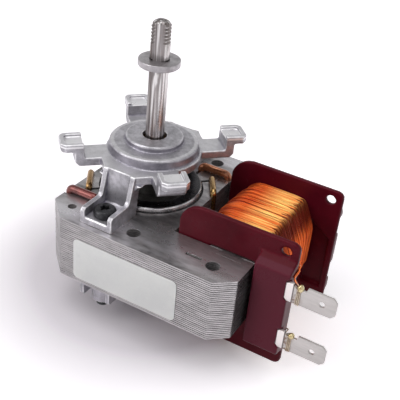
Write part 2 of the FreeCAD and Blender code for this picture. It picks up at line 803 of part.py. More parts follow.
def coil_lead(z):
    """Coil end led round the flange to the terminal's neck, with its solder bead."""
    neck_z = z + tab_height / 2 - neck_drop
    clear = lead_radius + lead_clear
    inside = -flange_inner + clear
    bead_at = Vector(tab_start - solder_place[0], terminal_plane, neck_z + solder_place[1])
    turn_z = neck_z - lead_rise[1]
    points = [Vector(coil_far + lead_radius + seat_gap, inside, turn_z - lead_rise[0]),
              Vector(flange_far + lead_reach[0], inside, turn_z),
              Vector(flange_far + lead_reach[1], -flange_outer - clear, neck_z), bead_at]
    wire = tube_along(points, lead_radius, lead_bend)
    return wire.fuse(Part.makeSphere(solder_radius, bead_at)).cut(terminal(z)).removeSplitter()


def rating_label():
    across, up = label_size[0] / 2, label_size[1] / 2
    x, z = label_place[0], stack_middle + label_place[1]
    pairs = [(x - across, z - up), (x + across, z - up), (x + across, z + up), (x - across, z + up)]
    return prism(profile_xz(pairs, -stack_half_width), label_corner, Vector(0, -label_thickness, 0))


def save(name, shape):
    """Write one node, lowered so that the hooks bear on the plane z = 0."""
    moved = shape.copy()
    moved.translate(Vector(0, 0, -hook_bearing))
    moved.exportStep("parts/" + name + ".step")


def main():
    os.makedirs("parts", exist_ok=True)
    bars = [cage_bar(i) for i in range(cage_bars)]
    save("stator_core", stator_core())
    save("coil_core", coil_core())
    save("front_thick_shading_ring", thick_ring())
    save("rear_thick_shading_ring", spun(thick_ring(), 180))
    save("front_thin_shading_ring", thin_ring())
    save("rear_thin_shading_ring", spun(thin_ring(), 180))
    save("front_bracket", bracket(front_heights, True))
    save("rear_bracket", to_rear(bracket(rear_heights, False)))
    save("bracket_screws", Part.makeCompound(both_sides(screw())))
    for name, make in (("bush", bush), ("oil_felt", oil_felt), ("bush_clip", bush_clip),
                       ("rotor_spacer", spacer), ("thrust_washer", thrust_washer)):
        save("front_" + name, make(front_heights))
        save("rear_" + name, to_rear(make(rear_heights)))
    save("rotor_core", rotor_core(bars))
    save("rotor_cage", rotor_cage(bars))
    save("shaft", shaft())
    save("fan_washer", fan_washer())
    save("bobbin", bobbin())
    save("coil_winding", coil_winding())
    for name, height in zip(("upper", "lower"), terminal_heights):
        save(name + "_terminal", terminal(height))
        save(name + "_coil_lead", coil_lead(height))
    save("rating_label", rating_label())


main()
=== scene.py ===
"""Dresses a shaded-pole oven fan motor: stack, castings, bobbin, winding, terminals, rings and shaft.

Everything is in metres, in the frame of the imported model. Run it as a script.
"""

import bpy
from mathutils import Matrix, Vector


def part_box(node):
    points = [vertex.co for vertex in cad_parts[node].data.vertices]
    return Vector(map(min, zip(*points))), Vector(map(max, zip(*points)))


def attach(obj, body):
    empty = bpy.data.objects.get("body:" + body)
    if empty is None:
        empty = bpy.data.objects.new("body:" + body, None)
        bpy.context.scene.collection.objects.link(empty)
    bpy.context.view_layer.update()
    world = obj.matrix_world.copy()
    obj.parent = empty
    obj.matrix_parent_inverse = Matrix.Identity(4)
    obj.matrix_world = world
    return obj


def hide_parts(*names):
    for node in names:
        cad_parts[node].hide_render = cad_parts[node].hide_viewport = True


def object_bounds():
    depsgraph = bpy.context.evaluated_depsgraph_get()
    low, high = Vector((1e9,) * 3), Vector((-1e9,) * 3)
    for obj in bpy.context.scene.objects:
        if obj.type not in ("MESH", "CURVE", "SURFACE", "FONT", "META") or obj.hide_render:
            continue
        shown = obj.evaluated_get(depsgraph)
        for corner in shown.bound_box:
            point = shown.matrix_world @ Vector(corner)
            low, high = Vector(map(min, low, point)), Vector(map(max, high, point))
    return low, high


bl_info = {
    "name": "Oven fan motor",
    "version": (1, 0, 0),
    "blender": (4, 5, 0),
    "location": "View3D > Sidebar > Fan motor",
    "description": "Builds the visible pieces and finishes of a shaded-pole oven fan motor",
    "category": "Object",
}

import math
import random

import bmesh
import bpy
import numpy as np
from bpy.props import FloatProperty, FloatVectorProperty, IntProperty, PointerProperty
from mathutils import Matrix, Vector

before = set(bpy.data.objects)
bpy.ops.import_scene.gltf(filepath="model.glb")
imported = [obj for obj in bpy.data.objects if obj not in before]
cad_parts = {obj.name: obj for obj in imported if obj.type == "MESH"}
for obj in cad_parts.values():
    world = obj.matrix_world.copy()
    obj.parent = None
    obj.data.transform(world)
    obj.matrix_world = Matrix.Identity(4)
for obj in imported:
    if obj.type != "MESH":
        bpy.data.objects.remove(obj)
cad_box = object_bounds()

MM = 0.001
STATOR = "stator"
ROTOR = "rotor"


# Nodes of shaders and geometry trees

def live_socket(sockets, key):
    """The socket with that name, or at that index, that the node's present mode uses."""
    if isinstance(key, int):
        return sockets[key]
    return next(s for s in sockets if s.name == key and s.enabled)


class Tree:
    """Adds nodes to a node tree, with their settings and inputs in one call."""

    def __init__(self, tree):
        self.tree = tree

    def node(self, kind, inputs=None, **settings):
        node = self.tree.nodes.new(kind)
        for key, value in settings.items():
            setattr(node, key, value)
        for key, value in (inputs or {}).items():
            self.feed(live_socket(node.inputs, key), value)
        return node

    def feed(self, socket, value):
        """Links a socket or a node's first live output, or sets a plain value."""
        if isinstance(value, bpy.types.NodeSocket):
            self.tree.links.new(value, socket)
        elif isinstance(value, bpy.types.Node):
            self.tree.links.new(next(s for s in value.outputs if s.enabled), socket)
        else:
            socket.default_value = value

    def math(self, operation, a, b=0.0, c=0.0, clamp=False):
        inputs = {0: a, 1: b, 2: c}
        return self.node("ShaderNodeMath", inputs, operation=operation, use_clamp=clamp).outputs[0]

    def times(self, a, b):
        return self.math("MULTIPLY", a, b)

    def spread(self, value, low, high, to_low=0.0, to_high=1.0):
        """Maps a value from one range to another, and clamps it."""
        inputs = {"Value": value, "From Min": low, "From Max": high, "To Min": to_low, "To Max": to_high}
        return self.node("ShaderNodeMapRange", inputs, clamp=True).outputs[0]

    def mix(self, share, a, b):
        node = self.node("ShaderNodeMix", {"Factor": share, "A": a, "B": b}, data_type="RGBA")
        return live_socket(node.outputs, "Result")

    def attribute(self, name):
        return self.node("ShaderNodeAttribute", attribute_name=name).outputs["Fac"]

    def coordinates(self):
        return self.node("ShaderNodeTexCoord").outputs["Object"]

    def axis(self, number):
        """One of the object coordinates."""
        return self.node("ShaderNodeSeparateXYZ", {0: self.coordinates()}).outputs[number]

    def place(self, scale=(1.0, 1.0, 1.0)):
        """Object coordinates, stretched for a pattern."""
        return self.node("ShaderNodeMapping", {"Vector": self.coordinates(), "Scale": scale}).outputs[0]

    def stretched(self, factors):
        """Object coordinates, stretched by a group's own input."""
        return self.node("ShaderNodeVectorMath", {0: self.coordinates(), 1: factors}, operation="MULTIPLY")

    def reach(self):
        """Distance from the shaft's axis."""
        flat = self.place((1.0, 1.0, 0.0))
        return self.node("ShaderNodeVectorMath", {0: flat}, operation="LENGTH").outputs["Value"]

    def noise(self, vector, scale, detail=3.0, roughness=0.55):
        inputs = {"Vector": vector, "Scale": scale, "Detail": detail, "Roughness": roughness}
        return self.node("ShaderNodeTexNoise", inputs).outputs[0]

    def turning_marks(self, scale, distortion):
        """Rings round the shaft's axis."""
        inputs = {"Vector": self.coordinates(), "Scale": scale, "Distortion": distortion}
        return self.node("ShaderNodeTexWave", inputs, wave_type="RINGS", rings_direction="Z").outputs["Fac"]

    def seen(self):
        """1 for the camera and for reflections, 0 for the light that falls on the object."""
        path = self.node("ShaderNodeLightPath").outputs
        mirrored = self.math("MAXIMUM", path["Is Glossy Ray"], path["Is Transmission Ray"])
        return self.math("MAXIMUM", path["Is Camera Ray"], mirrored)

    def made_real(self, shape, material):
        """The end of a geometry tree: real geometry with its material."""
        real = self.node("GeometryNodeRealizeInstances", {"Geometry": shape})
        return self.node("GeometryNodeSetMaterial", {"Geometry": real, "Material": material})


SOCKETS = {"value": "NodeSocketFloat", "colour": "NodeSocketColor", "vector": "NodeSocketVector",
           "count": "NodeSocketInt", "shape": "NodeSocketGeometry", "material": "NodeSocketMaterial",
           "length": "NodeSocketFloat"}


def new_group(name, kind, inputs, outputs):
    """A node group with named sockets, and its input and output nodes."""
    group = bpy.data.node_groups.new(name, kind)
    for label, socket, default in inputs:
        made = group.interface.new_socket(name=label, in_out="INPUT", socket_type=SOCKETS[socket])
        if default is not None:
            made.default_value = default
        if socket == "length":
            made.subtype = "DISTANCE"
    for label, socket in outputs:
        group.interface.new_socket(name=label, in_out="OUTPUT", socket_type=SOCKETS[socket])
    tree = Tree(group)
    return tree, tree.node("NodeGroupInput").outputs, tree.node("NodeGroupOutput").inputs


def mottle_group():
    """Cloudy and fine variation of a surface, for cast, moulded and rolled finishes."""
    tree, given, out = new_group(
        "mottle", "ShaderNodeTree",
        [("Cloud scale", "value", 200.0), ("Grain scale", "value", 2500.0), ("Stretch", "vector", (1, 1, 1)),
         ("Dark", "colour", (0.3, 0.3, 0.3, 1)), ("Light", "colour", (0.6, 0.6, 0.6, 1))],
        [("Color", "colour"), ("Value", "value"), ("Height", "value")])
    stretched = tree.stretched(given["Stretch"])
    cloud = tree.spread(tree.noise(stretched, given["Cloud scale"], 4.0, 0.6), 0.34, 0.66)
    grain = tree.noise(stretched, given["Grain scale"], 2.0, 0.6)
    value = tree.math("MULTIPLY_ADD", tree.math("SUBTRACT", grain, 0.5), 0.9, cloud, clamp=True)
    tree.feed(out["Color"], tree.mix(value, given["Dark"], given["Light"]))
    tree.feed(out["Value"], value)
    tree.feed(out["Height"], grain)


def edge_group():
    """Masks for bright edges, worn or painted as highlights, and for hollows, where painted shade goes, from
    the piece's own edge attribute.
    """
    tree, given, out = new_group(
        "worn_edges", "ShaderNodeTree",
        [("Edge start", "value", 0.1), ("Edge end", "value", 0.4), ("Hollow start", "value", 0.05),
         ("Hollow end", "value", 0.35), ("Break-up scale", "value", 600.0)],
        [("Edge", "value"), ("Hollow", "value")])
    bend = tree.attribute("edge_bend")
    rub = tree.spread(tree.noise(tree.coordinates(), given["Break-up scale"]), 0.3, 0.6, 0.45, 1.0)
    edge = tree.spread(bend, given["Edge start"], given["Edge end"])
    hollow = tree.spread(tree.times(bend, -1.0), given["Hollow start"], given["Hollow end"])
    tree.feed(out["Edge"], tree.times(edge, rub))
    tree.feed(out["Hollow"], hollow)


def speck_group():
    """Scattered specks and stains: a mask from two thresholds on a noise."""
    tree, given, out = new_group(
        "specks", "ShaderNodeTree",
        [("Scale", "value", 400.0), ("Cover", "value", 0.62), ("Softness", "value", 0.06),
         ("Stretch", "vector", (1, 1, 1))],
        [("Mask", "value")])
    noise = tree.noise(tree.stretched(given["Stretch"]), given["Scale"], 5.0, 0.65)
    end = tree.math("ADD", given["Cover"], given["Softness"])
    tree.feed(out["Mask"], tree.spread(noise, given["Cover"], end))


def place_group(tree, name, **values):
    """Puts a shader group into a material with its own values."""
    node = tree.node("ShaderNodeGroup", node_tree=bpy.data.node_groups[name])
    for key, value in values.items():
        tree.feed(node.inputs[key.capitalize().replace("_", " ")], value)
    return node.outputs


def mottled(tree, cloud, grain, dark, light, stretch=(1.0, 1.0, 1.0)):
    """A surface's clouds and grain, by their scales, between two colours."""
    return place_group(tree, "mottle", cloud_scale=cloud, grain_scale=grain, dark=dark, light=light,
                       stretch=stretch)


def specked(tree, scale, cover, softness, stretch=(1.0, 1.0, 1.0)):
    """A mask of specks or stains."""
    return place_group(tree, "specks", scale=scale, cover=cover, softness=softness, stretch=stretch)["Mask"]


def edge_masks(tree, edge, hollow, break_up):
    """Masks of edges and hollows, each between two bends."""
    node = tree.node("ShaderNodeGroup", node_tree=bpy.data.node_groups["worn_edges"])
    for socket, value in zip(node.inputs, (*edge, *hollow, break_up)):
        tree.feed(socket, value)
    return node.outputs


def finish_shader(tree, colour, roughness, height, bump, depth, **constants):
    """Principled shader with a bump, and plain values on its own sockets."""
    shader = tree.node("ShaderNodeBsdfPrincipled", {"Base Color": colour, "Roughness": roughness})
    for key, value in constants.items():
        shader.inputs[key.replace("_", " ").title().replace("Ior", "IOR")].default_value = value
    bumps = tree.node("ShaderNodeBump", {"Height": height, "Strength": bump, "Distance": depth})
    tree.feed(shader.inputs["Normal"], bumps)
    tree.node("ShaderNodeOutputMaterial", {"Surface": shader})


def mottled_finish(tree, mottle, colour, rough, bump, depth, height=None, **constants):
    """A finish whose roughness follows its mottle, and its bump too unless it has its own height."""
    roughness = tree.spread(mottle["Value"], 0, 1, *rough)
    height = mottle["Height"] if height is None else height
    finish_shader(tree, colour, roughness, height, bump, depth, **constants)


def new_material(name):
    """A new material's empty node tree."""
    if name in bpy.data.materials:
        raise RuntimeError(f"the packed model already has a material named {name}")
    material = bpy.data.materials.new(name)
    material.use_nodes = True
    material.node_tree.nodes.clear()
    return Tree(material.node_tree)


def shade(colour, *factors):
    """The colour with its alpha, its channels multiplied by one factor or by three."""
    factors = factors if len(factors) == 3 else (factors or (1.0,)) * 3
    return (*(channel * factor for channel, factor in zip(colour, factors)), 1.0)


# Materials, one for each finish, and the places where their effects set in

PAINTED_STREAK_FLANKS = (16 * MM, 26 * MM)  # from the middle plane: painted highlight streaks on the stack's faces there
STACK_END = (43.6 * MM, 43.8 * MM)  # along x: the stack's end face, made near black with painted shade under the bobbin
BLOCK_FRONT = (-18.6 * MM, -18.2 * MM)  # along y: the bobbin's front block, made paler than its flanges as a painted reflection
CAGE_RIM = (14.9 * MM, 15.3 * MM)  # from the axis: the cage's bright rim; inside it, painted shade makes the top near black
COIL_HALF = (5 * MM, 6 * MM)  # along x: the rings towards the coil are lighter and yellower, a painted highlight
# the floor's painted glow grows along these, to white away from the object
GLOW_HEADING = (0.86, 0.51)  # across the floor, to the object's right in the photograph
GLOW_SIDE = (22 * MM, 38 * MM)  # along that heading
GLOW_ROUND = (36 * MM, 64 * MM)  # from the axis


def rolled_sheet_steel(look):
    """Electrical steel, brushed along the stack, with brownish stains, a tone for each sheet, painted
    highlight streaks on the arms' faces and painted shade on the end face under the bobbin.
    """
    tree = new_material("rolled_sheet_steel")
    base = look.sheet_steel
    mottle = mottled(tree, 150.0, 900.0, shade(base, 0.5), shade(base, 1.75), (0.4, 1.0, 1.0))
    stain = specked(tree, 160.0, 0.55, 0.2, (0.5, 1.0, 0.6))
    # painted highlight: light streaks on the faces of the arms
    painted_streaks = tree.spread(tree.noise(tree.place((0.3, 1.0, 1.0)), 150.0), 0.38, 0.56)
    outer = tree.spread(tree.math("ABSOLUTE", tree.axis(1)), *PAINTED_STREAK_FLANKS, 0.0, 0.9)
    cloudy = tree.mix(tree.times(painted_streaks, outer), mottle["Color"], (0.8, 0.78, 0.82, 1.0))
    toned = tree.mix(tree.spread(tree.attribute("sheet_tone"), 0, 1, 0.0, 0.45), cloudy, shade(base, 0.72))
    stained = tree.mix(tree.times(stain, 0.4), toned, (0.36, 0.29, 0.235, 1.0))
    cut = tree.attribute("sheet_side")
    wave = tree.noise(tree.place((0.3, 0.3, 1.0)), 900.0, 2.0)
    side = tree.mix(tree.spread(wave, 0.35, 0.65), shade(base, 1.2), shade(base, 1.65))
    # painted shade: the end face next to the bobbin near black
    end_shade = tree.spread(tree.axis(0), *STACK_END, 0.0, 0.85)
    colour = tree.mix(cut, stained, tree.mix(end_shade, side, shade(base, 0.06)))
    streak = tree.noise(tree.place((0.06, 1.0, 1.0)), 5200.0, 2.0)
    face_roughness = tree.spread(mottle["Value"], 0, 1, 0.4, 0.24)
    roughness = tree.math("MULTIPLY_ADD", cut, 0.22, face_roughness)
    finish_shader(tree, colour, roughness, streak, 0.25, 0.03 * MM, metallic=0.85)


def cast_skin(look):
    """Cast zinc-aluminium: cloudy grey with bright edges, worn and partly painted highlight, painted shade in
    hollows and on the hub's walls, and painted light on upward faces and pocket floors.
    """
    tree = new_material("cast_skin")
    base = look.casting
    mottle = mottled(tree, 420.0, 2600.0, shade(base, 0.74), shade(base, 1.22))
    edges = edge_masks(tree, (0.05, 0.14), (0.02, 0.13), 420.0)
    speck = specked(tree, 950.0, 0.63, 0.05)
    # painted shade: violet-grey in the hollows
    hollow = tree.mix(tree.times(edges["Hollow"], 0.85), mottle["Color"], shade(base, 0.3, 0.28, 0.36))
    spotted = tree.mix(tree.times(speck, 0.35), hollow, shade(base, 0.5))
    # bright edges, worn and partly painted highlight, and painted light on upward faces and the hooks' pocket
    # floors
    bright = tree.math("MAXIMUM", tree.times(edges["Edge"], 0.9), tree.attribute("rubbed"))
    # painted shade on the hub's walls
    wall_shade = tree.mix(tree.attribute("shaded"), spotted, shade(base, 0.3, 0.28, 0.34))
    colour = tree.mix(bright, wall_shade, (0.95, 0.94, 0.96, 1.0))
    rough = tree.spread(mottle["Value"], 0, 1, 0.48, 0.34)
    roughness = tree.math("SUBTRACT", rough, tree.times(bright, 0.08))
    finish_shader(tree, colour, roughness, mottle["Height"], 0.5, 0.06 * MM, metallic=0.78)


def moulded_bobbin(look):
    """Glass-filled moulding in dark wine red, semi-gloss, with faint flow marks, dust, painted highlights
    along its edges and a painted reflection that makes the front block paler.
    """
    tree = new_material("moulded_bobbin")
    base = look.bobbin
    mottle = mottled(tree, 90.0, 3000.0, shade(base, 0.82), shade(base, 1.2))
    edges = edge_masks(tree, (0.1, 0.35), (0.08, 0.3), 300.0)
    # painted highlight: pinkish light along the edges
    rubbed = tree.mix(tree.times(edges["Edge"], 0.4), mottle["Color"], shade(base, 2.6, 14.0, 7.0))
    dust = specked(tree, 700.0, 0.66, 0.08)
    # painted reflection: the front block paler than the flanges
    block = tree.spread(tree.axis(1), *BLOCK_FRONT, 1.0, 0.0)
    painted_block_reflection = tree.mix(block, rubbed, shade(base, 1.3, 4.2, 2.8))
    colour = tree.mix(tree.times(dust, 0.1), painted_block_reflection, (0.4, 0.28, 0.27, 1.0))
    mottled_finish(tree, mottle, colour, (0.36, 0.27), 0.12, 0.03 * MM, metallic=0.0,
                  specular_ior_level=0.3, ior=1.25)


def enamelled_wire(look):
    """Enamelled copper: each strand its own orange, with painted highlight making the crown yellower, and
    painted shade making the flanks redder and darkening the turns near the rotor and past the ridge.
    """
    tree = new_material("enamelled_wire")
    patch = tree.spread(tree.noise(tree.place((0.35, 1.6, 1.0)), 260.0), 0.35, 0.65)
    tone = tree.math("ADD", tree.times(tree.attribute("strand_tone"), 0.6), tree.times(patch, 0.4))
    # painted highlight on the crown, painted shade on the flanks
    crown = tree.mix(tone, shade(look.coil_orange), shade(look.coil_gold))
    flank = tree.mix(tone, shade(look.coil_red), shade(look.coil_orange))
    plain = tree.mix(tree.attribute("coil_side"), crown, flank)
    # painted shade: near black near the rotor and in a band past the ridge
    colour = tree.mix(tree.attribute("coil_soak"), plain, (0.12, 0.008, 0.005, 1.0))
    fleck = tree.noise(tree.place(), 3200.0, 2.0)
    roughness = tree.spread(fleck, 0.3, 0.7, 0.3, 0.46)
    finish_shader(tree, colour, roughness, fleck, 0.08, 0.03 * MM, metallic=0.9)


def deep_layers(look):
    """The layers under the outer turns: enamel darkened to deep red as painted shade, ribbed by strands."""
    tree = new_material("deep_layers")
    strands = tree.noise(tree.place((0.1, 1.0, 0.1)), 3600.0, 1.0)
    # painted shade: much darker than the outer turns' enamel
    colour = tree.mix(tree.spread(strands, 0.35, 0.65), (0.12, 0.018, 0.008, 1.0), (0.42, 0.085, 0.02, 1.0))
    finish_shader(tree, colour, tree.spread(strands, 0.3, 0.7, 0.5, 0.35), strands, 0.6, 0.2 * MM,
                  metallic=0.5)


def drawn_shaft_steel(look):
    """Drawn shaft steel with streaks along its length, painted dark and pale as reflections, and warm stains.
    """
    tree = new_material("drawn_shaft_steel")
    base = look.shaft_steel
    mottle = mottled(tree, 300.0, 1500.0, shade(base, 0.7), shade(base, 1.22), (1.0, 1.0, 0.12))
    streaks = tree.noise(tree.place((1.0, 1.0, 0.02)), 1150.0, 2.0, 0.6)
    # painted reflections: dark and pale streaks along the shaft
    dark, pale = tree.spread(streaks, 0.4, 0.52, 0.85, 0.0), tree.spread(streaks, 0.56, 0.64, 0.0, 0.8)
    lined = tree.mix(dark, mottle["Color"], shade(base, 0.3, 0.25, 0.23))
    bright = tree.mix(pale, lined, (0.86, 0.84, 0.84, 1.0))
    stain = specked(tree, 240.0, 0.52, 0.2, (1.0, 1.0, 0.3))
    colour = tree.mix(tree.times(stain, 0.35), bright, (0.33, 0.22, 0.18, 1.0))
    mottled_finish(tree, mottle, colour, (0.38, 0.24), 0.3, 0.05 * MM, streaks, metallic=0.88)


def plated_washer(look):
    """Zinc-plated washer: pale, with fine turning marks and dull patches."""
    tree = new_material("plated_washer")
    base = look.washer
    mottle = mottled(tree, 420.0, 3000.0, shade(base, 0.75), shade(base, 1.12))
    marks = tree.turning_marks(900.0, 1.5)
    mottled_finish(tree, mottle, mottle["Color"], (0.44, 0.28), 0.12, 0.03 * MM, marks, metallic=0.9)


def black_phosphate(look):
    """Phosphated screw steel: near black, with grey worn edges."""
    tree = new_material("black_phosphate")
    mottle = mottled(tree, 700.0, 4000.0, (0.012, 0.012, 0.014, 1.0), (0.05, 0.05, 0.055, 1.0))
    edges = edge_masks(tree, (0.15, 0.5), (0.1, 0.4), 900.0)
    colour = tree.mix(tree.times(edges["Edge"], 0.5), mottle["Color"], (0.22, 0.22, 0.24, 1.0))
    mottled_finish(tree, mottle, colour, (0.5, 0.32), 0.2, 0.04 * MM, metallic=0.6)


def ring_copper(look, name, colour_name, metal, highlight_gain, coat):
    """Copper wire of a shading ring, lacquered or bare, with dark burn spots, and a painted highlight that
    makes the rings on the coil's side lighter and yellower.
    """
    tree = new_material(name)
    base = getattr(look, colour_name)
    mottle = mottled(tree, 260.0, 2400.0, shade(base, 0.62), shade(base, 1.2))
    burn = specked(tree, 330.0, 0.54, 0.14)
    # painted highlight: the rings towards the coil lighter and yellower
    painted_ring_highlight = tree.mix(tree.spread(tree.axis(0), *COIL_HALF), mottle["Color"],
                      shade(base, highlight_gain, highlight_gain ** 1.6, highlight_gain))
    colour = tree.mix(tree.times(burn, 0.35), painted_ring_highlight, shade(base, 0.4))
    mottled_finish(tree, mottle, colour, (0.34, 0.18), 0.12, 0.05 * MM, metallic=metal,
                  coat_weight=coat, coat_roughness=0.14)


def tinned_strip(look):
    """Tinned terminal strip: satin, with fine rolling lines and brown flux spots near the root."""
    tree = new_material("tinned_strip")
    base = look.tin
    mottle = mottled(tree, 260.0, 1800.0, shade(base, 0.84), shade(base, 1.1), (0.15, 1.0, 1.0))
    across = tree.axis(0)
    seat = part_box("upper_terminal")[0].x + 4.3 * MM
    root = tree.times(tree.spread(across, seat + 0.9 * MM, seat + 3.5 * MM, 1.0, 0.0),
                      tree.spread(across, seat, seat + 0.4 * MM))
    spots = specked(tree, 900.0, 0.46, 0.12)
    flux = tree.times(tree.times(spots, root), 0.85)
    stained = tree.mix(flux, mottle["Color"], (0.22, 0.13, 0.09, 1.0))
    white = tree.mix(tree.spread(across, seat - 0.1 * MM, seat + 0.1 * MM, 0.95, 0.0), stained,
                     (0.97, 0.9, 0.89, 1.0))
    plate = tree.mix(tree.spread(across, seat - 2.0 * MM, seat - 1.8 * MM, 0.9, 0.0), white,
                     (0.05, 0.02, 0.025, 1.0))
    from_line = tree.math("ABSOLUTE", tree.math("SUBTRACT", across, seat + 0.2 * MM))
    line = tree.spread(from_line, 0.08 * MM, 0.22 * MM, 0.85, 0.0)
    colour = tree.mix(line, plate, (0.08, 0.055, 0.06, 1.0))
    mottled_finish(tree, mottle, colour, (0.46, 0.34), 0.12, 0.03 * MM, metallic=0.6)


def solder_and_flux(look):
    """Solder bead with golden flux on it."""
    tree = new_material("solder_and_flux")
    mottle = mottled(tree, 900.0, 3500.0, (0.42, 0.28, 0.1, 1.0), (0.82, 0.72, 0.42, 1.0))
    mottled_finish(tree, mottle, mottle["Color"], (0.36, 0.18), 0.2, 0.06 * MM, metallic=0.7,
                  coat_weight=0.5, coat_roughness=0.12)


def tinned_lead(look):
    """Coil end: enamelled where it leaves the coil, tinned and stained with flux round the tab."""
    tree = new_material("tinned_lead")
    mottle = mottled(tree, 700.0, 3500.0, (0.3, 0.2, 0.13, 1.0), (0.72, 0.64, 0.52, 1.0))
    colour = tree.mix(tree.attribute("tinned"), shade(look.coil_orange), mottle["Color"])
    mottled_finish(tree, mottle, colour, (0.46, 0.24), 0.2, 0.04 * MM, metallic=0.75)


def blank_label(look):
    """White film label with a faint weave of the paper and grey smudges."""
    tree = new_material("blank_label")
    mottle = mottled(tree, 120.0, 2600.0, (0.9, 0.9, 0.91, 1.0), (0.97, 0.97, 0.97, 1.0))
    smudge = specked(tree, 210.0, 0.6, 0.16)
    colour = tree.mix(tree.times(smudge, 0.12), mottle["Color"], (0.5, 0.49, 0.47, 1.0))
    mottled_finish(tree, mottle, colour, (0.5, 0.38), 0.1, 0.04 * MM, metallic=0.0)


def turned_aluminium(look):
    """Cast and turned end rings: a bright rim with rings from the tool, and painted shade that makes the top
    near black inside the rim.
    """
    tree = new_material("turned_aluminium")
    mottle = mottled(tree, 300.0, 2200.0, (0.5, 0.48, 0.5, 1.0), (0.88, 0.86, 0.88, 1.0))
    marks = tree.turning_marks(700.0, 1.0)
    # painted shade: the top near black inside the bright rim
    colour = tree.mix(tree.spread(tree.reach(), *CAGE_RIM), (0.05, 0.047, 0.052, 1.0), mottle["Color"])
    mottled_finish(tree, mottle, colour, (0.34, 0.2), 0.2, 0.04 * MM, marks, metallic=0.85)


def laminated_rotor(look):
    """Rotor sheets seen edge on: dark, ringed by their pitch."""
    tree = new_material("laminated_rotor")
    lines = tree.node("ShaderNodeTexWave", {"Vector": tree.place((0.0, 0.0, 1.0)), "Scale": 318.0},
                      wave_type="BANDS", bands_direction="Z").outputs["Fac"]
    mottle = mottled(tree, 350.0, 2500.0, (0.07, 0.065, 0.06, 1.0), (0.2, 0.19, 0.185, 1.0))
    colour = tree.mix(tree.spread(lines, 0.1, 0.4), (0.03, 0.028, 0.026, 1.0), mottle["Color"])
    mottled_finish(tree, mottle, colour, (0.6, 0.42), 0.4, 0.06 * MM, lines, metallic=0.7)


def inner_finish(name, dark, light, rough, metal, cloud=400.0, grain=2500.0, bump=0.25):
    """A finish of the bearings' small parts: mottled, with its own pores or fibres."""
    tree = new_material(name)
    mottle = mottled(tree, cloud, grain, shade(dark), shade(light))
    pores = specked(tree, grain * 0.8, 0.6, 0.06)
    colour = tree.mix(tree.times(pores, 0.5), mottle["Color"], shade(dark, 0.5))
    mottled_finish(tree, mottle, colour, rough, bump, 0.06 * MM, metallic=metal)


INNER_FINISHES = (
    # name, dark, light, roughness, metal, and where they differ: cloud, grain, bump
    ("sheet_varnish", (0.05, 0.045, 0.045), (0.12, 0.11, 0.11), (0.7, 0.5), 0.3),
    ("sintered_bush", (0.09, 0.055, 0.03), (0.24, 0.15, 0.08), (0.55, 0.4), 0.8),
    ("soaked_felt", (0.04, 0.03, 0.02), (0.12, 0.095, 0.07), (0.95, 0.8), 0.0, 700.0, 5000.0, 0.9),
    ("spring_clip", (0.06, 0.06, 0.07), (0.16, 0.16, 0.17), (0.4, 0.25), 0.9),
    ("spacer_nylon", (0.05, 0.048, 0.046), (0.11, 0.105, 0.1), (0.5, 0.4), 0.0),
    ("thrust_nylon", (0.09, 0.09, 0.1), (0.2, 0.2, 0.22), (0.5, 0.35), 0.0),
)


def floor_finish(look):
    """Pale matt floor that is white to the camera and in reflections where no shadow falls, with a painted
    glow that grows away from the object.
    """
    tree = new_material("pale_floor")
    grain = tree.noise(tree.place(), 30.0)
    colour = tree.mix(tree.spread(grain, 0.3, 0.7), shade(look.floor, 0.985), shade(look.floor))
    seen = tree.seen()
    shown = tree.mix(seen, colour, shade(look.floor_shadow))
    diffuse = tree.node("ShaderNodeBsdfDiffuse", {"Color": shown, "Roughness": 0.6})
    # painted glow: the floor lights up to the object's right and away from its axis
    along = tree.math("ADD", *(tree.times(tree.axis(i), share) for i, share in enumerate(GLOW_HEADING)))
    level = tree.math("MAXIMUM", tree.spread(along, *GLOW_SIDE, 0.0, look.floor_glow),
                      tree.spread(tree.reach(), *GLOW_ROUND, 0.0, look.floor_glow))
    glow = tree.node("ShaderNodeEmission", {"Color": shade(look.floor), "Strength": level})
    dark = tree.node("ShaderNodeEmission", {"Strength": 0.0})
    lit = tree.node("ShaderNodeMixShader", {0: seen, 1: dark, 2: glow})
    both = tree.node("ShaderNodeAddShader", {0: diffuse, 1: lit})
    tree.node("ShaderNodeOutputMaterial", {"Surface": both})


# Meshes

def merged(node):
    """A CAD node's shape with its doubled points joined, as a bmesh."""
    shape = bmesh.new()
    shape.from_mesh(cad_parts[node].data)
    bmesh.ops.remove_doubles(shape, verts=shape.verts, dist=1e-6)
    return shape


def plain_mesh(shape, name):
    """A mesh with nothing but the bmesh's points and faces."""
    shape.verts.index_update()
    points = [v.co[:] for v in shape.verts]
    faces = [[v.index for v in f.verts] for f in shape.faces]
    mesh = bpy.data.meshes.new(name)
    mesh.from_pydata(points, [], faces)
    mesh.update()
    shape.free()
    return mesh


def put_in_scene(name, mesh):
    """A new piece at the origin."""
    piece = bpy.data.objects.new(name, mesh)
    bpy.context.scene.collection.objects.link(piece)
    return piece


def baked(piece):
    """Turns a piece with modifiers into a plain mesh and drops the modifiers."""
    graph = bpy.context.evaluated_depsgraph_get()
    graph.update()
    mesh = bpy.data.meshes.new_from_object(piece.evaluated_get(graph))
    piece.modifiers.clear()
    old = piece.data
    piece.data = mesh
    mesh.name = piece.name
    bpy.data.meshes.remove(old)
    return piece


def smooth_by_angle(mesh, degrees):
    """Shades a mesh smooth but for the edges that are sharper than an angle."""
    mesh.shade_smooth()
    mesh.set_sharp_from_angle(angle=math.radians(degrees))


def face_outwards(mesh):
    """Joins a mesh's doubled points and turns its faces outwards."""
    shape = bmesh.new()
    shape.from_mesh(mesh)
    bmesh.ops.remove_doubles(shape, verts=shape.verts, dist=1e-7)
    bmesh.ops.recalc_face_normals(shape, faces=shape.faces)
    shape.to_mesh(mesh)
    shape.free()


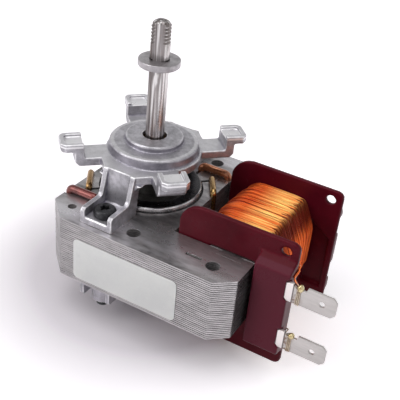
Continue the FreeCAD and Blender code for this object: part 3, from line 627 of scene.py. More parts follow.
def set_attribute(mesh, name, values):
    attribute = mesh.attributes.get(name) or mesh.attributes.new(name, "FLOAT", "POINT")
    attribute.data.foreach_set("value", np.asarray(values, np.float32))


def vector_array(items, key):
    """A vector of every point or face, as rows."""
    values = np.zeros(len(items) * 3, np.float32)
    items.foreach_get(key, values)
    return values.reshape(-1, 3)


def point_array(mesh):
    return vector_array(mesh.vertices, "co")


def normal_array(mesh):
    return vector_array(mesh.vertices, "normal")


def mark_edge_bend(mesh):
    """Stores how far the surface bends at each point: above zero on edges, below in hollows."""
    points, normals = point_array(mesh), normal_array(mesh)
    pairs = np.zeros(len(mesh.edges) * 2, np.int32)
    mesh.edges.foreach_get("vertices", pairs)
    pairs = pairs.reshape(-1, 2)
    step = points[pairs[:, 1]] - points[pairs[:, 0]]
    length = np.maximum(np.linalg.norm(step, axis=1), 1e-9)
    total, count = np.zeros(len(points)), np.zeros(len(points))
    for here, sign in ((0, -1), (1, 1)):
        slope = sign * np.einsum("ij,ij->i", normals[pairs[:, here]], step) / length
        np.add.at(total, pairs[:, here], slope)
        np.add.at(count, pairs[:, here], 1)
    bend = total / np.maximum(count, 1)
    total, count = bend.copy(), np.ones(len(points))
    for here, there in ((0, 1), (1, 0)):
        np.add.at(total, pairs[:, here], bend[pairs[:, there]])
        np.add.at(count, pairs[:, here], 1)
    set_attribute(mesh, "edge_bend", total / count)


def finish_piece(piece, body, node, finish):
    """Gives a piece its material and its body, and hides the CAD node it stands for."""
    if finish is not None:
        piece.data.materials.clear()
        piece.data.materials.append(bpy.data.materials[finish])
    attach(piece, body)
    if node:
        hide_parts(node)


def softened_copy(node, name, voxel, rounds):
    """A casting or moulding: the CAD shape with its edges run over, and its bends marked."""
    piece = put_in_scene(name, plain_mesh(merged(node), name))
    remesh = piece.modifiers.new("skin", "REMESH")
    remesh.mode = "VOXEL"
    remesh.voxel_size = voxel
    remesh.adaptivity = 0.0
    relax = piece.modifiers.new("relax", "SMOOTH")
    relax.factor = 0.5
    relax.iterations = rounds
    baked(piece)
    piece.data.shade_smooth()
    mark_edge_bend(piece.data)
    return piece


def bevelled(piece, width, segments, degrees):
    """Breaks the edges that are sharper than an angle."""
    bevel = piece.modifiers.new("edge", "BEVEL")
    bevel.width = width
    bevel.segments = segments
    bevel.limit_method = "ANGLE"
    bevel.angle_limit = math.radians(degrees)
    return baked(piece)


def rounded_copy(node, name, width, segments=2, degrees=30.0, beyond=0.0, growth=0.0):
    """A stamped or turned piece: the CAD shape with a bevel, and grown past a distance from the axis."""
    shape = merged(node)
    for vert in shape.verts:
        reach = vert.co.xy.length
        if growth and reach > beyond:
            vert.co.xy *= (reach + growth) / reach
    bmesh.ops.dissolve_limit(shape, angle_limit=math.radians(1.0), verts=shape.verts, edges=shape.edges)
    piece = put_in_scene(name, plain_mesh(shape, name))
    if width > 0:
        bevelled(piece, width, segments, degrees)
    smooth_by_angle(piece.data, degrees)
    return piece


def dress(node, name, body, slot, finish, *edge):
    """Puts a rounded copy in a CAD node's place, with its finish."""
    finish_piece(rounded_copy(node, name, *edge), body, node, finish)


def lathe(profile, sides, radius_at):
    """Closed shape from (radius, height) pairs; radius_at gives each point's own radius."""
    shape = bmesh.new()
    rows = []
    for radius, height in profile:
        if radius == 0:
            rows.append([shape.verts.new((0, 0, height))])
            continue
        row = []
        for i in range(sides):
            angle = math.tau * i / sides
            r = radius_at(radius, height, angle)
            row.append(shape.verts.new((r * math.cos(angle), r * math.sin(angle), height)))
        rows.append(row)
    for low, high in zip(rows, rows[1:]):
        for i in range(sides):
            j = (i + 1) % sides
            if len(low) == 1:
                shape.faces.new((low[0], high[j], high[i]))
            elif len(high) == 1:
                shape.faces.new((low[i], low[j], high[0]))
            else:
                shape.faces.new((low[i], low[j], high[j], high[i]))
    bmesh.ops.recalc_face_normals(shape, faces=shape.faces)
    return shape


def geometry_piece(name, source, group, inputs):
    """Runs a geometry tree on a mesh and keeps its result as a plain piece."""
    piece = put_in_scene(name, source)
    modifier = piece.modifiers.new(name, "NODES")
    modifier.node_group = group
    named = {s.name: s.identifier for s in group.interface.items_tree
             if s.item_type == "SOCKET" and s.in_out == "INPUT"}
    for key, value in inputs.items():
        modifier[named[key]] = value
    return baked(piece)


# Geometry trees

def sheet_stack_tree():
    """Stacks one punched sheet, each copy with its own small offset, width and tone."""
    tree, given, out = new_group(
        "sheet_stack", "GeometryNodeTree",
        [("Sheet", "shape", None), ("Count", "count", 39), ("Pitch", "length", 0.0005),
         ("Lowest narrowing", "vector", (0.998, 0.998, 1)), ("Seed", "count", 7),
         ("Steel", "material", None)],
        [("Stack", "shape")])
    step = tree.node("ShaderNodeCombineXYZ", {"Z": given["Pitch"]})
    line = tree.node("GeometryNodeMeshLine", {"Count": given["Count"], "Offset": step}, mode="OFFSET")
    size = tree.node("FunctionNodeRandomValue", {"Min": given["Lowest narrowing"], "Max": (1, 1, 1),
                                                 "Seed": given["Seed"]}, data_type="FLOAT_VECTOR")
    copies = tree.node("GeometryNodeInstanceOnPoints", {
        "Points": line, "Instance": given["Sheet"], "Scale": size})
    seed = tree.math("ADD", given["Seed"], 1.0)
    tone = tree.node("FunctionNodeRandomValue", {"Min": 0.0, "Max": 1.0, "Seed": seed}, data_type="FLOAT")
    kept = tree.node("GeometryNodeStoreNamedAttribute", {
        "Geometry": copies, "Name": "sheet_tone", "Value": tone}, data_type="FLOAT", domain="INSTANCE")
    tree.feed(out["Stack"], tree.made_real(kept, given["Steel"]))
    return tree.tree


def wire_tree():
    """Draws round wire along lines of a mesh."""
    tree, given, out = new_group(
        "drawn_wire", "GeometryNodeTree",
        [("Lines", "shape", None), ("Wire radius", "length", 0.0002), ("Sides", "count", 6),
         ("Copper", "material", None)],
        [("Wire", "shape")])
    curve = tree.node("GeometryNodeMeshToCurve", {"Mesh": given["Lines"]})
    circle = tree.node("GeometryNodeCurvePrimitiveCircle", {
        "Resolution": given["Sides"], "Radius": given["Wire radius"]}, mode="RADIUS")
    tube = tree.node("GeometryNodeCurveToMesh", {"Curve": curve, "Profile Curve": circle, "Fill Caps": True})
    smooth = tree.node("GeometryNodeSetShadeSmooth", {"Geometry": tube})
    tree.feed(out["Wire"], tree.made_real(smooth, given["Copper"]))
    return tree.tree


def screw_pair_tree():
    """Puts one screw on each side of the hub, each turned its own way."""
    tree, given, out = new_group(
        "screw_pair", "GeometryNodeTree",
        [("Screw", "shape", None), ("Spacing", "length", 0.049), ("Seed", "count", 3),
         ("Finish", "material", None)],
        [("Screws", "shape")])
    start = tree.node("ShaderNodeCombineXYZ", {"Y": tree.times(given["Spacing"], -0.5)})
    step = tree.node("ShaderNodeCombineXYZ", {"Y": given["Spacing"]})
    line = tree.node("GeometryNodeMeshLine", {"Count": 2, "Start Location": start, "Offset": step},
                     mode="OFFSET")
    turn = tree.node("FunctionNodeRandomValue", {"Min": (0, 0, 0), "Max": (0, 0, math.tau),
                                                 "Seed": given["Seed"]}, data_type="FLOAT_VECTOR")
    rotation = tree.node("FunctionNodeEulerToRotation", {"Euler": turn})
    copies = tree.node("GeometryNodeInstanceOnPoints", {
        "Points": line, "Instance": given["Screw"], "Rotation": rotation})
    tree.feed(out["Screws"], tree.made_real(copies, given["Finish"]))
    return tree.tree


# Settings

def colour_property(name, description, default):
    return FloatVectorProperty(name=name, description=description, default=default, subtype="COLOR", size=3,
                               min=0.0, max=1.0)


def length_property(name, description, default):
    return FloatProperty(name=name, description=description, default=default, unit="LENGTH", precision=6)


class FinishSettings(bpy.types.PropertyGroup):
    sheet_steel: colour_property("Sheet steel", "Colour of the stack's rolled sheets", (0.36, 0.345, 0.352))
    casting: colour_property("Casting", "Colour of the die-cast brackets", (0.46, 0.448, 0.483))
    bobbin: colour_property("Bobbin", "Colour of the moulded bobbin", (0.1, 0.0045, 0.0125))
    coil_gold: colour_property("Coil highlight", "Strands on the winding's crown", (1.0, 0.71, 0.22))
    coil_orange: colour_property("Coil", "Strands of the winding", (0.9, 0.19, 0.035))
    coil_red: colour_property("Coil shade", "Strands on the winding's sides", (0.4, 0.032, 0.01))
    shaft_steel: colour_property("Shaft", "Colour of the ground shaft", (0.32, 0.295, 0.295))
    washer: colour_property("Washer", "Colour of the fan washer", (0.42, 0.4, 0.415))
    lacquered: colour_property("Thick ring", "Lacquered copper of the thick rings", (0.22, 0.045, 0.038))
    bare_copper: colour_property("Thin ring", "Bare copper of the thin rings", (0.42, 0.24, 0.09))
    tin: colour_property("Terminals", "Tinned surface of the tabs", (0.57, 0.54, 0.53))
    floor: colour_property("Floor", "Colour of the floor", (0.93, 0.93, 0.93))
    floor_shadow: colour_property("Shaded floor", "Tint of the floor in the shade", (0.94, 0.905, 0.95))
    floor_glow: FloatProperty(name="Floor glow", description="Light of the floor towards the camera",
                              default=0.6, min=0.0, max=1.0)


class StackSettings(bpy.types.PropertyGroup):
    sheets: IntProperty(name="Sheets", description="Number of sheets in the stack", default=30, min=2)
    fill: FloatProperty(name="Fill", description="Share of the pitch that a sheet takes", default=0.68,
                        subtype="FACTOR", min=0.5, max=1.0)
    narrowing: FloatProperty(name="Narrowing", description="Most that a sheet is narrower than the widest",
                             default=0.003, subtype="FACTOR", min=0.0, max=0.01)
    recess: length_property("Recess", "How far the joints between sheets stand back", 0.00016)
    rim: length_property("Rim", "Width of the broken edge round the top sheet and its holes", 0.00012)
    press_depth: length_property("Press depth", "Depth below the top at which its pressed marks are cut",
                                 0.0002)


class CastingSettings(bpy.types.PropertyGroup):
    skin: length_property("Skin", "Grain of the castings' skin", 0.00026)
    bobbin_skin: length_property("Bobbin skin", "Grain of the bobbin's skin", 0.00036)
    rounds: IntProperty(name="Rounds", description="How far the castings' edges are run over", default=1)
    # the hooks' pocket floors get painted light
    pocket_floor: length_property("Pocket floor", "Height of the rubbed floors of the hooks' pockets", 0.0016)
    pocket_reach: length_property("Pocket reach", "Distance of the pockets from the axis", 0.0198)


class ShaftSettings(bpy.types.PropertyGroup):
    pitch: length_property("Thread pitch", "Pitch of the thread at the tip", 0.001)
    root_depth: length_property("Thread depth", "Depth of the thread below the shaft's surface", 0.0004)
    thread_length: length_property("Thread length", "Length of the full thread", 0.0056)
    dome: length_property("Dome", "Height of the domed tip", 0.0015)
    flat_distance: length_property("Flat", "Distance of the flat from the axis", 0.00212)
    flat_heading: FloatProperty(name="Flat heading", description="Direction that the flat faces",
                                default=math.radians(-72.0), subtype="ANGLE")
    neck_radius: length_property("Neck", "Radius of the relief round the washer", 0.0025)
    neck_rise: length_property("Neck rise", "Height of the relief above the washer", 0.0003)


class WindingSettings(bpy.types.PropertyGroup):
    turns: IntProperty(name="Turns", description="Turns in the outer layer", default=60, min=2)
    strays: IntProperty(name="Strays", description="Strands that lie across the outer layer", default=14)
    wire_radius: length_property("Wire radius", "Radius of a strand", 0.00018)
    crown: length_property("Crown", "How far the middle stands above the ends", 0.0007)
    ragged: length_property("Raggedness", "How far strands stray in and out", 0.00036)
    set_back: length_property("Set back", "How far the turns stand back on the shaft's side", 0.001)
    slope: length_property("Slope", "Width of the sloping outer shoulder", 0.0045)
    bulge: length_property("Bulge", "Half the height of the outer side's flat", 0.0065)


class FanMotorSettings(bpy.types.PropertyGroup):
    finish: PointerProperty(name="Finishes", description="Colours of the finishes", type=FinishSettings)
    stack: PointerProperty(name="Stack", description="Sheets of the core", type=StackSettings)
    casting: PointerProperty(name="Castings", description="Skins of brackets and bobbin",
                             type=CastingSettings)
    shaft: PointerProperty(name="Shaft", description="Thread, flat and relief", type=ShaftSettings)
    winding: PointerProperty(name="Winding", description="Strands of the coil", type=WindingSettings)


# Operators

class FANMOTOR_OT_finishes(bpy.types.Operator):
    """Make the shared node groups and every material"""

    bl_idname = "fan_motor.finishes"
    bl_label = "Finishes"

    def execute(self, context):
        look = context.scene.fan_motor.finish
        mottle_group()
        edge_group()
        speck_group()
        for make in (rolled_sheet_steel, cast_skin, moulded_bobbin, enamelled_wire, deep_layers,
                     drawn_shaft_steel, plated_washer, black_phosphate, tinned_strip, solder_and_flux,
                     tinned_lead, blank_label, turned_aluminium, laminated_rotor, floor_finish):
            make(look)
        ring_copper(look, "lacquered_ring", "lacquered", 0.5, 2.7, 0.45)
        ring_copper(look, "bare_ring", "bare_copper", 0.85, 1.1, 0.4)
        for values in INNER_FINISHES:
            inner_finish(*values)
        return {"FINISHED"}


def stack_section(node, height):
    """Outline of the stack at one height, filled, as a flat bmesh."""
    shape = merged(node)
    everything = shape.verts[:] + shape.edges[:] + shape.faces[:]
    bmesh.ops.bisect_plane(shape, geom=everything, plane_co=(0, 0, height), plane_no=(0, 0, 1),
                           clear_outer=True, clear_inner=True)
    bmesh.ops.remove_doubles(shape, verts=shape.verts, dist=5e-6)
    straight = [v for v in shape.verts if len(v.link_edges) == 2 and turn_at(v) < math.radians(1.0)]
    bmesh.ops.dissolve_verts(shape, verts=straight)
    bmesh.ops.triangle_fill(shape, use_beauty=True, edges=shape.edges)
    if not shape.faces:
        raise RuntimeError(f"the section of {node} at {height} did not close")
    return shape


def turn_at(vert):
    """Angle by which an outline turns at a point."""
    before, after = (e.other_vert(vert).co - vert.co for e in vert.link_edges)
    return math.pi - before.angle(after, math.pi)


def draw_in(shape, inset):
    """Moves the outline's points into the sheet, so that its sides stand back."""
    moves = {}
    for vert in shape.verts:
        rims = [e for e in vert.link_edges if len(e.link_faces) == 1]
        if len(rims) != 2:
            continue
        inward = Vector((0, 0, 0))
        for edge in rims:
            along = (edge.verts[1].co - edge.verts[0].co).normalized()
            side = Vector((-along.y, along.x, 0))
            inner = edge.link_faces[0].calc_center_median() - edge.verts[0].co
            inward += side if side.dot(inner) > 0 else -side
        if inward.length > 0.2:
            moves[vert] = inward.normalized() * inset * min(2.0, 2.0 / inward.length)
    for vert, move in moves.items():
        vert.co += move


def sheet_mesh(node, height, bottom, thickness, inset=0.0):
    """One sheet: the section at a height, moved to its place and given its thickness."""
    shape = stack_section(node, height)
    for vert in shape.verts:
        vert.co.z = bottom
    for face in shape.faces:
        if face.normal.z > 0:
            face.normal_flip()
    if inset:
        draw_in(shape, inset)
    grown = bmesh.ops.extrude_face_region(shape, geom=shape.faces[:], use_keep_orig=True)
    top = [g for g in grown["geom"] if isinstance(g, bmesh.types.BMVert)]
    bmesh.ops.translate(shape, verts=top, vec=(0, 0, thickness))
    bmesh.ops.recalc_face_normals(shape, faces=shape.faces)
    return plain_mesh(shape, f"{node}_sheet")


def mark_sides(mesh):
    """Marks the sheets' cut sides, which are duller than their faces."""
    side = (np.abs(vector_array(mesh.polygons, "normal")[:, 2]) < 0.5).astype(np.float32)
    attribute = mesh.attributes.new("sheet_side", "FLOAT", "FACE")
    attribute.data.foreach_set("value", side)


class FANMOTOR_OT_sheets(bpy.types.Operator):
    """Stack the punched sheets of the core and of the leg inside the bobbin"""

    bl_idname = "fan_motor.sheets"
    bl_label = "Sheet stack"

    def execute(self, context):
        settings = context.scene.fan_motor.stack
        tree = sheet_stack_tree()
        least = 1.0 - settings.narrowing
        for seed, node in enumerate(("stator_core", "coil_core")):
            low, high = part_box(node)
            middle = (low.z + high.z) / 2
            pitch = (high.z - low.z) / settings.sheets
            thickness = pitch * settings.fill
            joint = pitch - thickness
            sheet = sheet_mesh(node, middle, low.z + joint, thickness)
            inputs = {"Count": settings.sheets - 1, "Pitch": pitch, "Lowest narrowing": (least, least, 1.0),
                      "Seed": 7 + seed, "Steel": bpy.data.materials["rolled_sheet_steel"]}
            stack = geometry_piece(f"{node}_sheets", sheet, tree, inputs)
            mark_sides(stack.data)
            finish_piece(stack, STATOR, node, "rolled_sheet_steel")
            cover = sheet_mesh(node, high.z - settings.press_depth, high.z - thickness, thickness)
            top = bevelled(put_in_scene(f"{node}_top_sheet", cover), settings.rim, 1, 50.0)
            set_attribute(top.data, "sheet_tone", [0.15] * len(top.data.vertices))
            mark_sides(top.data)
            finish_piece(top, STATOR, None, "rolled_sheet_steel")
            height = high.z - low.z - 2 * joint - thickness
            body = sheet_mesh(node, middle, low.z + 2 * joint, height, settings.recess)
            varnish = put_in_scene(f"{node}_between_sheets", body)
            finish_piece(varnish, STATOR, None, "sheet_varnish")
        return {"FINISHED"}


class FANMOTOR_OT_castings(bpy.types.Operator):
    """Dress the front and the rear bracket"""

    bl_idname = "fan_motor.castings"
    bl_label = "Cast brackets"

    def execute(self, context):
        settings = context.scene.fan_motor.casting
        for node in ("front_bracket", "rear_bracket"):
            piece = softened_copy(node, f"{node}_casting", settings.skin, settings.rounds)
            points, rise = point_array(piece.data), normal_array(piece.data)[:, 2]
            distance, height = np.hypot(points[:, 0], points[:, 1]), points[:, 2]
            outside = distance > settings.pocket_reach
            # painted light on the pocket floors and upward faces; painted shade on the hub's walls
            pocket = outside & (np.abs(height - settings.pocket_floor) < settings.skin)
            face = (distance > 0.6 * settings.pocket_reach) & (rise > 0.9) & (height > -3.0 * MM)
            wall = ~outside & (np.abs(rise) < 0.6) & (height > -1.7 * MM)
            set_attribute(piece.data, "rubbed", np.maximum(pocket * 0.9, face * 0.42))
            set_attribute(piece.data, "shaded", wall * 0.6)
            finish_piece(piece, STATOR, node, "cast_skin")
        return {"FINISHED"}


class FANMOTOR_OT_bobbin(bpy.types.Operator):
    """Dress the moulded bobbin"""

    bl_idname = "fan_motor.bobbin"
    bl_label = "Bobbin"

    def execute(self, context):
        settings = context.scene.fan_motor.casting
        piece = softened_copy("bobbin", "bobbin_moulding", settings.bobbin_skin, settings.rounds)
        finish_piece(piece, STATOR, "bobbin", "moulded_bobbin")
        return {"FINISHED"}


def screw_mesh(low, high, head_radius):
    """Pan-head screw with a six-lobed socket and a cut thread, upright on the axis."""
    shank, root, pitch = 1.95 * MM, 1.6 * MM, 0.7 * MM
    socket, floor = 1.55 * MM, high - 1.4 * MM
    seat, rim = high - 2.3 * MM, high - 1.2 * MM
    corner, lip, tip = 0.15 * MM, 0.12 * MM, 0.4 * MM
    profile = [(0, low), (root * 0.55, low), (root * 0.8, low + 0.3 * MM)]
    rows = int((seat - low) / (pitch / 4))
    profile += [(shank, low + tip + (seat - low - 1.5 * tip) * i / rows) for i in range(rows + 1)]
    profile += [(shank, seat), (head_radius - corner, seat), (head_radius, seat + corner), (head_radius, rim)]
    profile += [(head_radius - 1.1 * MM * (1 - math.cos(a)), rim + (high - rim) * math.sin(a))
                for a in (0.35, 0.7, 1.05, 1.35)]
    profile += [(socket + lip, high), (socket, high - lip), (socket * 0.98, floor + 0.1 * MM),
                (socket * 0.7, floor), (0, floor - 0.3 * MM)]

    def radius_at(radius, height, angle):
        if radius == shank and height < seat - 0.3 * MM:
            phase = ((height - low) / pitch - angle / math.tau) % 1.0
            return root + (shank - root) * (1 - abs(2 * phase - 1))
        if radius <= socket * 1.08 and height > floor - 0.2 * MM:
            return radius * (0.86 + 0.14 * math.cos(6 * angle))
        return radius

    return plain_mesh(lathe(profile, 36, radius_at), "bracket_screw")


class FANMOTOR_OT_screws(bpy.types.Operator):
    """Place the two bracket screws"""

    bl_idname = "fan_motor.screws"
    bl_label = "Bracket screws"

    def execute(self, context):
        low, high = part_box("bracket_screws")
        head = (high.x - low.x) / 2
        mesh = screw_mesh(low.z, high.z, head)
        mark_edge_bend(mesh)
        inputs = {"Spacing": high.y - low.y - 2 * head, "Seed": 3,
                  "Finish": bpy.data.materials["black_phosphate"]}
        piece = geometry_piece("bracket_screw_pair", mesh, screw_pair_tree(), inputs)
        smooth_by_angle(piece.data, 40.0)
        finish_piece(piece, STATOR, "bracket_screws", "black_phosphate")
        return {"FINISHED"}


def shaft_mesh(settings):
    """The shaft with its chamfer, relief, thread, dome and flat."""
    low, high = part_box("shaft")
    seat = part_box("fan_washer")
    radius, chamfer = (high.y - low.y) / 2, 0.5 * MM
    thread_top = high.z - settings.dome
    thread_low = thread_top - settings.thread_length
    flat_low, neck_top = seat[0].z, seat[1].z + settings.neck_rise
    steps, rows = 12, int(settings.thread_length / settings.pitch * 12)
    profile = [(0, low.z), (radius - chamfer, low.z), (radius, low.z + chamfer)]
    profile += [(radius, low.z + chamfer + (flat_low - low.z - chamfer) * i / steps)
                for i in range(1, steps + 1)]
    profile += [(settings.neck_radius, flat_low + 0.01 * MM), (settings.neck_radius, neck_top),
                (radius, neck_top + 0.05 * MM), (radius, thread_low)]
    profile += [(radius, thread_low + settings.thread_length * i / rows) for i in range(1, rows + 1)]
    tip = radius - settings.root_depth * 0.6
    profile += [(tip * math.cos(a), thread_top + settings.dome * math.sin(a))
                for a in (0.12, 0.4, 0.7, 1.0, 1.3)]
    profile += [(0, high.z)]

    def radius_at(r, height, angle):
        if thread_low < height <= thread_top and r == radius:
            phase = ((height - thread_low) / settings.pitch - angle / math.tau) % 1.0
            wave = min(1.0, max(0.0, 1.35 * (1 - abs(2 * phase - 1)) - 0.15))
            run_in = min(1.0, (height - thread_low) / (0.6 * settings.pitch))
            return radius - settings.root_depth * (1 - wave) * run_in
        return r

    shape = lathe(profile, 72, radius_at)
    facing = Vector((math.cos(settings.flat_heading), math.sin(settings.flat_heading), 0))
    for vert in shape.verts:
        beyond = vert.co.dot(facing) - settings.flat_distance
        if vert.co.z > flat_low - 0.001 * MM and beyond > 0:
            vert.co -= facing * beyond
    return plain_mesh(shape, "ground_shaft")


class FANMOTOR_OT_shaft(bpy.types.Operator):
    """Turn the shaft with its thread and flat, and dress the fan washer"""

    bl_idname = "fan_motor.shaft"
    bl_label = "Shaft and washer"

    def execute(self, context):
        piece = put_in_scene("ground_shaft", shaft_mesh(context.scene.fan_motor.shaft))
        smooth_by_angle(piece.data, 32.0)
        finish_piece(piece, ROTOR, "shaft", "drawn_shaft_steel")
        dress("fan_washer", "fan_seat_washer", ROTOR, "washer_steel", "plated_washer", 0.12 * MM, 3)
        return {"FINISHED"}


def rounded_loop(corners, radii):
    """A closed outline of 2D points with its corners rounded."""
    points = []
    count, steps = len(corners), 6
    for i, radius in enumerate(radii):
        here = Vector(corners[i])
        before = (Vector(corners[i - 1]) - here).normalized()
        after = (Vector(corners[(i + 1) % count]) - here).normalized()
        half = before.angle(after) / 2
        reach = radius / math.tan(half)
        centre = here + (before + after).normalized() * (radius / math.sin(half))
        start, end = here + before * reach - centre, here + after * reach - centre
        sweep = start.angle_signed(end)
        for k in range(steps + 1):
            points.append(centre + Matrix.Rotation(-sweep * k / steps, 2) @ start)
    return points


def even_loop(points, count):
    """A closed outline as evenly spaced points."""
    ring = points + [points[0]]
    at = [0.0]
    for a, b in zip(ring, ring[1:]):
        at.append(at[-1] + (b - a).length)
    xs, zs = [p[0] for p in ring], [p[1] for p in ring]
    where = [at[-1] * i / count for i in range(count)]
    return list(zip(np.interp(where, at, xs), np.interp(where, at, zs)))


class Coil:
    """The winding's outline and extent, from its CAD solid."""

    STEP = 0.05 * MM  # between the outlines worked out beforehand
    FINE = 240  # points round each of them

    def __init__(self, settings):
        self.low, self.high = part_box("coil_winding")
        self.settings = settings
        self.middle = (self.low.z + self.high.z) / 2
        self.shoulder = self.high.x - settings.slope
        self.outlines = np.array([self.outline(i * self.STEP, self.FINE) for i in range(60)])
        outer = self.outlines[4]
        ridge = np.argmin(np.hypot(outer[:, 0] - self.shoulder, outer[:, 1] - self.high.z))
        self.ridge = ridge / self.FINE

    def outline(self, inset, count):
        """Points round the winding, that far inside its crown, from the shaft's side over the top."""
        near, far = self.low.x + self.settings.set_back + inset, self.high.x - 0.4 * MM - inset
        top, bottom = self.high.z - inset, self.low.z + inset
        shoulder = self.shoulder - inset / 2
        bulge = self.settings.bulge
        corners = [(near, bottom), (near, top), (shoulder, top), (far, self.middle + bulge),
                   (far, self.middle - bulge), (shoulder, bottom)]
        radii = [r * MM for r in (6.5, 6.5, 0.4, 6.5, 6.5, 2.6)]
        return even_loop(rounded_loop(corners, radii), count)

    def outline_at(self, inset, share):
        """The point at that share of the outline, between the outlines worked out beforehand."""
        row = min(max(inset / self.STEP, 0.0), len(self.outlines) - 1.001)
        column = (share % 1.0) * self.FINE
        r, c = int(row), int(column)
        row_share, column_share = row - r, column - c
        c, after = c % self.FINE, (c + 1) % self.FINE
        low, high = (self.outlines[i, c] * (1 - column_share) + self.outlines[i, after] * column_share
                     for i in (r, r + 1))
        return low * (1 - row_share) + high * row_share

    def crown_drop(self, y):
        """How much lower the winding is there than at its middle."""
        return self.settings.crown * (y / self.high.y) ** 2


def strand_lines(coil, settings):
    """The outer turns as one long line, and strays that lie across them, with a tone for each turn."""
    rng = random.Random(11)
    points_per_turn = 72
    reach = coil.high.y - settings.wire_radius - 0.1 * MM

    def point(inset, y, share):
        x, z = coil.outline_at(inset, share)
        return x, max(-reach, min(reach, y)), z

    offsets = []
    for _ in range(settings.turns):
        offsets.append((rng.uniform(0, 1) ** 2 * settings.ragged, rng.uniform(0, math.tau),
                        rng.uniform(-0.1, 0.1) * MM, rng.uniform(-0.16, 0.16) * MM,
                        rng.uniform(-0.05, 0.45) * MM))
    line, tone = [], []
    for turn in range(settings.turns):
        depth, phase, slip, sway, notch = offsets[turn]
        follow = offsets[min(turn + 1, settings.turns - 1)]
        strand_tone = rng.random()
        for k in range(points_per_turn):
            share = k / points_per_turn
            y = -reach + 2 * reach * (turn + share) / settings.turns
            inset = settings.wire_radius + (1 - share) * depth + share * follow[0]
            inset += coil.crown_drop(y) + 0.05 * MM * math.sin(3 * math.tau * share + phase)
            y += (1 - share) * slip + share * follow[2] + sway * math.sin(math.tau * share + phase)
            inset += notch * math.exp(-((share - coil.ridge) / 0.018) ** 2)
            line.append(point(inset, y, share))
            tone.append(strand_tone)
    lines, tones = [line], [tone]
    for _ in range(settings.strays):
        start = rng.uniform(-0.9, 0.8) * reach
        run = rng.uniform(0.6, 2.2) * MM
        begin, span = rng.random(), rng.uniform(0.25, 0.8)
        steps = int(points_per_turn * span)
        tones.append([rng.random()] * steps)
        line = []
        for share in (k / steps for k in range(steps)):
            lift = 0.6 * settings.wire_radius * math.sin(math.pi * share)
            y = start + run * share
            inset = settings.wire_radius * 0.9 + coil.crown_drop(y) + 0.12 * MM - lift
            line.append(point(inset, y, begin + span * share))
        lines.append(line)
    return lines, tones


def line_mesh(name, lines, tones):
    """Lines of points as a mesh of edges, with the strands' tones."""
    points, edges, values = [], [], []
    for line, tone in zip(lines, tones):
        first = len(points)
        points += line
        values += tone
        edges += [(first + i, first + i + 1) for i in range(len(line) - 1)]
    mesh = bpy.data.meshes.new(name)
    mesh.from_pydata(points, edges, [])
    set_attribute(mesh, "strand_tone", values)
    return mesh


def deep_coil_mesh(coil, depth):
    """The layers below the outer turns: a sleeve round the bobbin's tube."""
    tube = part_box("coil_core")
    clear = 1.3 * MM
    count = 72
    inner = even_loop(rounded_loop(
        [(tube[0].x - clear, tube[0].z - clear), (tube[0].x - clear, tube[1].z + clear),
         (tube[1].x + clear, tube[1].z + clear), (tube[1].x + clear, tube[0].z - clear)],
        [0.2 * MM] * 4), count)
    reach = coil.high.y - 0.15 * MM
    shape = bmesh.new()
    rings = []
    for i in range(13):
        y = -reach + 2 * reach * i / 12
        outer = coil.outline(depth + coil.crown_drop(y), count)
        rings.append([shape.verts.new((x, y, z)) for x, z in outer])
    for y in (reach, -reach):
        rings.append([shape.verts.new((x, y, z)) for x, z in inner])
    for here, there in zip(rings, rings[1:] + rings[:1]):
        for k in range(count):
            m = (k + 1) % count
            shape.faces.new((here[k], here[m], there[m], there[k]))
    bmesh.ops.recalc_face_normals(shape, faces=shape.faces)
    return plain_mesh(shape, "deep_coil_layers")


def ramp(values, start, width):
    """0 up to a start, then up to 1 over a width, which runs backwards where it is negative."""
    return np.clip((values - start) / width, 0, 1)


def mark_coil(mesh, coil):
    """Marks the coil's painted shade: redder flanks, and darker turns near the rotor and past the ridge."""
    across, along, height = point_array(mesh).T
    side = np.maximum(ramp(across, coil.shoulder, 0.8 * MM),
                      ramp(across, coil.shoulder - 6.5 * MM, -6.0 * MM))
    set_attribute(mesh, "coil_side", np.maximum(side, ramp(height, coil.high.z - 1.6 * MM, -2.0 * MM)))
    notches = 0.3 * MM * np.sin(along / (0.11 * MM)) * np.sin(along / (0.47 * MM))
    band = ramp(across + notches, coil.shoulder - 0.6 * MM, 0.25 * MM)
    band *= ramp(across - 2 * notches, coil.shoulder + 3.3 * MM, -1.2 * MM)
    upper = height > coil.middle + 7.0 * MM
    # painted shade near the rotor and past the ridge
    shade_amount = np.maximum(ramp(across, coil.low.x + 2.6 * MM, -2.4 * MM), 0.92 * band * upper)
    set_attribute(mesh, "coil_soak", shade_amount)


class FANMOTOR_OT_winding(bpy.types.Operator):
    """Wind the coil from separate strands over its deeper layers"""

    bl_idname = "fan_motor.winding"
    bl_label = "Winding"

    def execute(self, context):
        settings = context.scene.fan_motor.winding
        coil = Coil(settings)
        lines = line_mesh("coil_strands", *strand_lines(coil, settings))
        inputs = {"Wire radius": settings.wire_radius, "Sides": 6,
                  "Copper": bpy.data.materials["enamelled_wire"]}
        strands = geometry_piece("coil_strands", lines, wire_tree(), inputs)
        mark_coil(strands.data, coil)
        finish_piece(strands, STATOR, "coil_winding", None)
        deep = put_in_scene("deep_coil_layers", deep_coil_mesh(coil, 0.42 * MM))
        smooth_by_angle(deep.data, 40.0)
        finish_piece(deep, STATOR, None, "deep_layers")
        return {"FINISHED"}


class FANMOTOR_OT_terminals(bpy.types.Operator):
    """Dress the two quick-connect tabs"""

    bl_idname = "fan_motor.terminals"
    bl_label = "Terminals"

    def execute(self, context):
        for node in ("upper_terminal", "lower_terminal"):
            dress(node, f"{node}_tab", STATOR, "tinned_brass", "tinned_strip", 0.1 * MM, 2, 35.0)
        return {"FINISHED"}


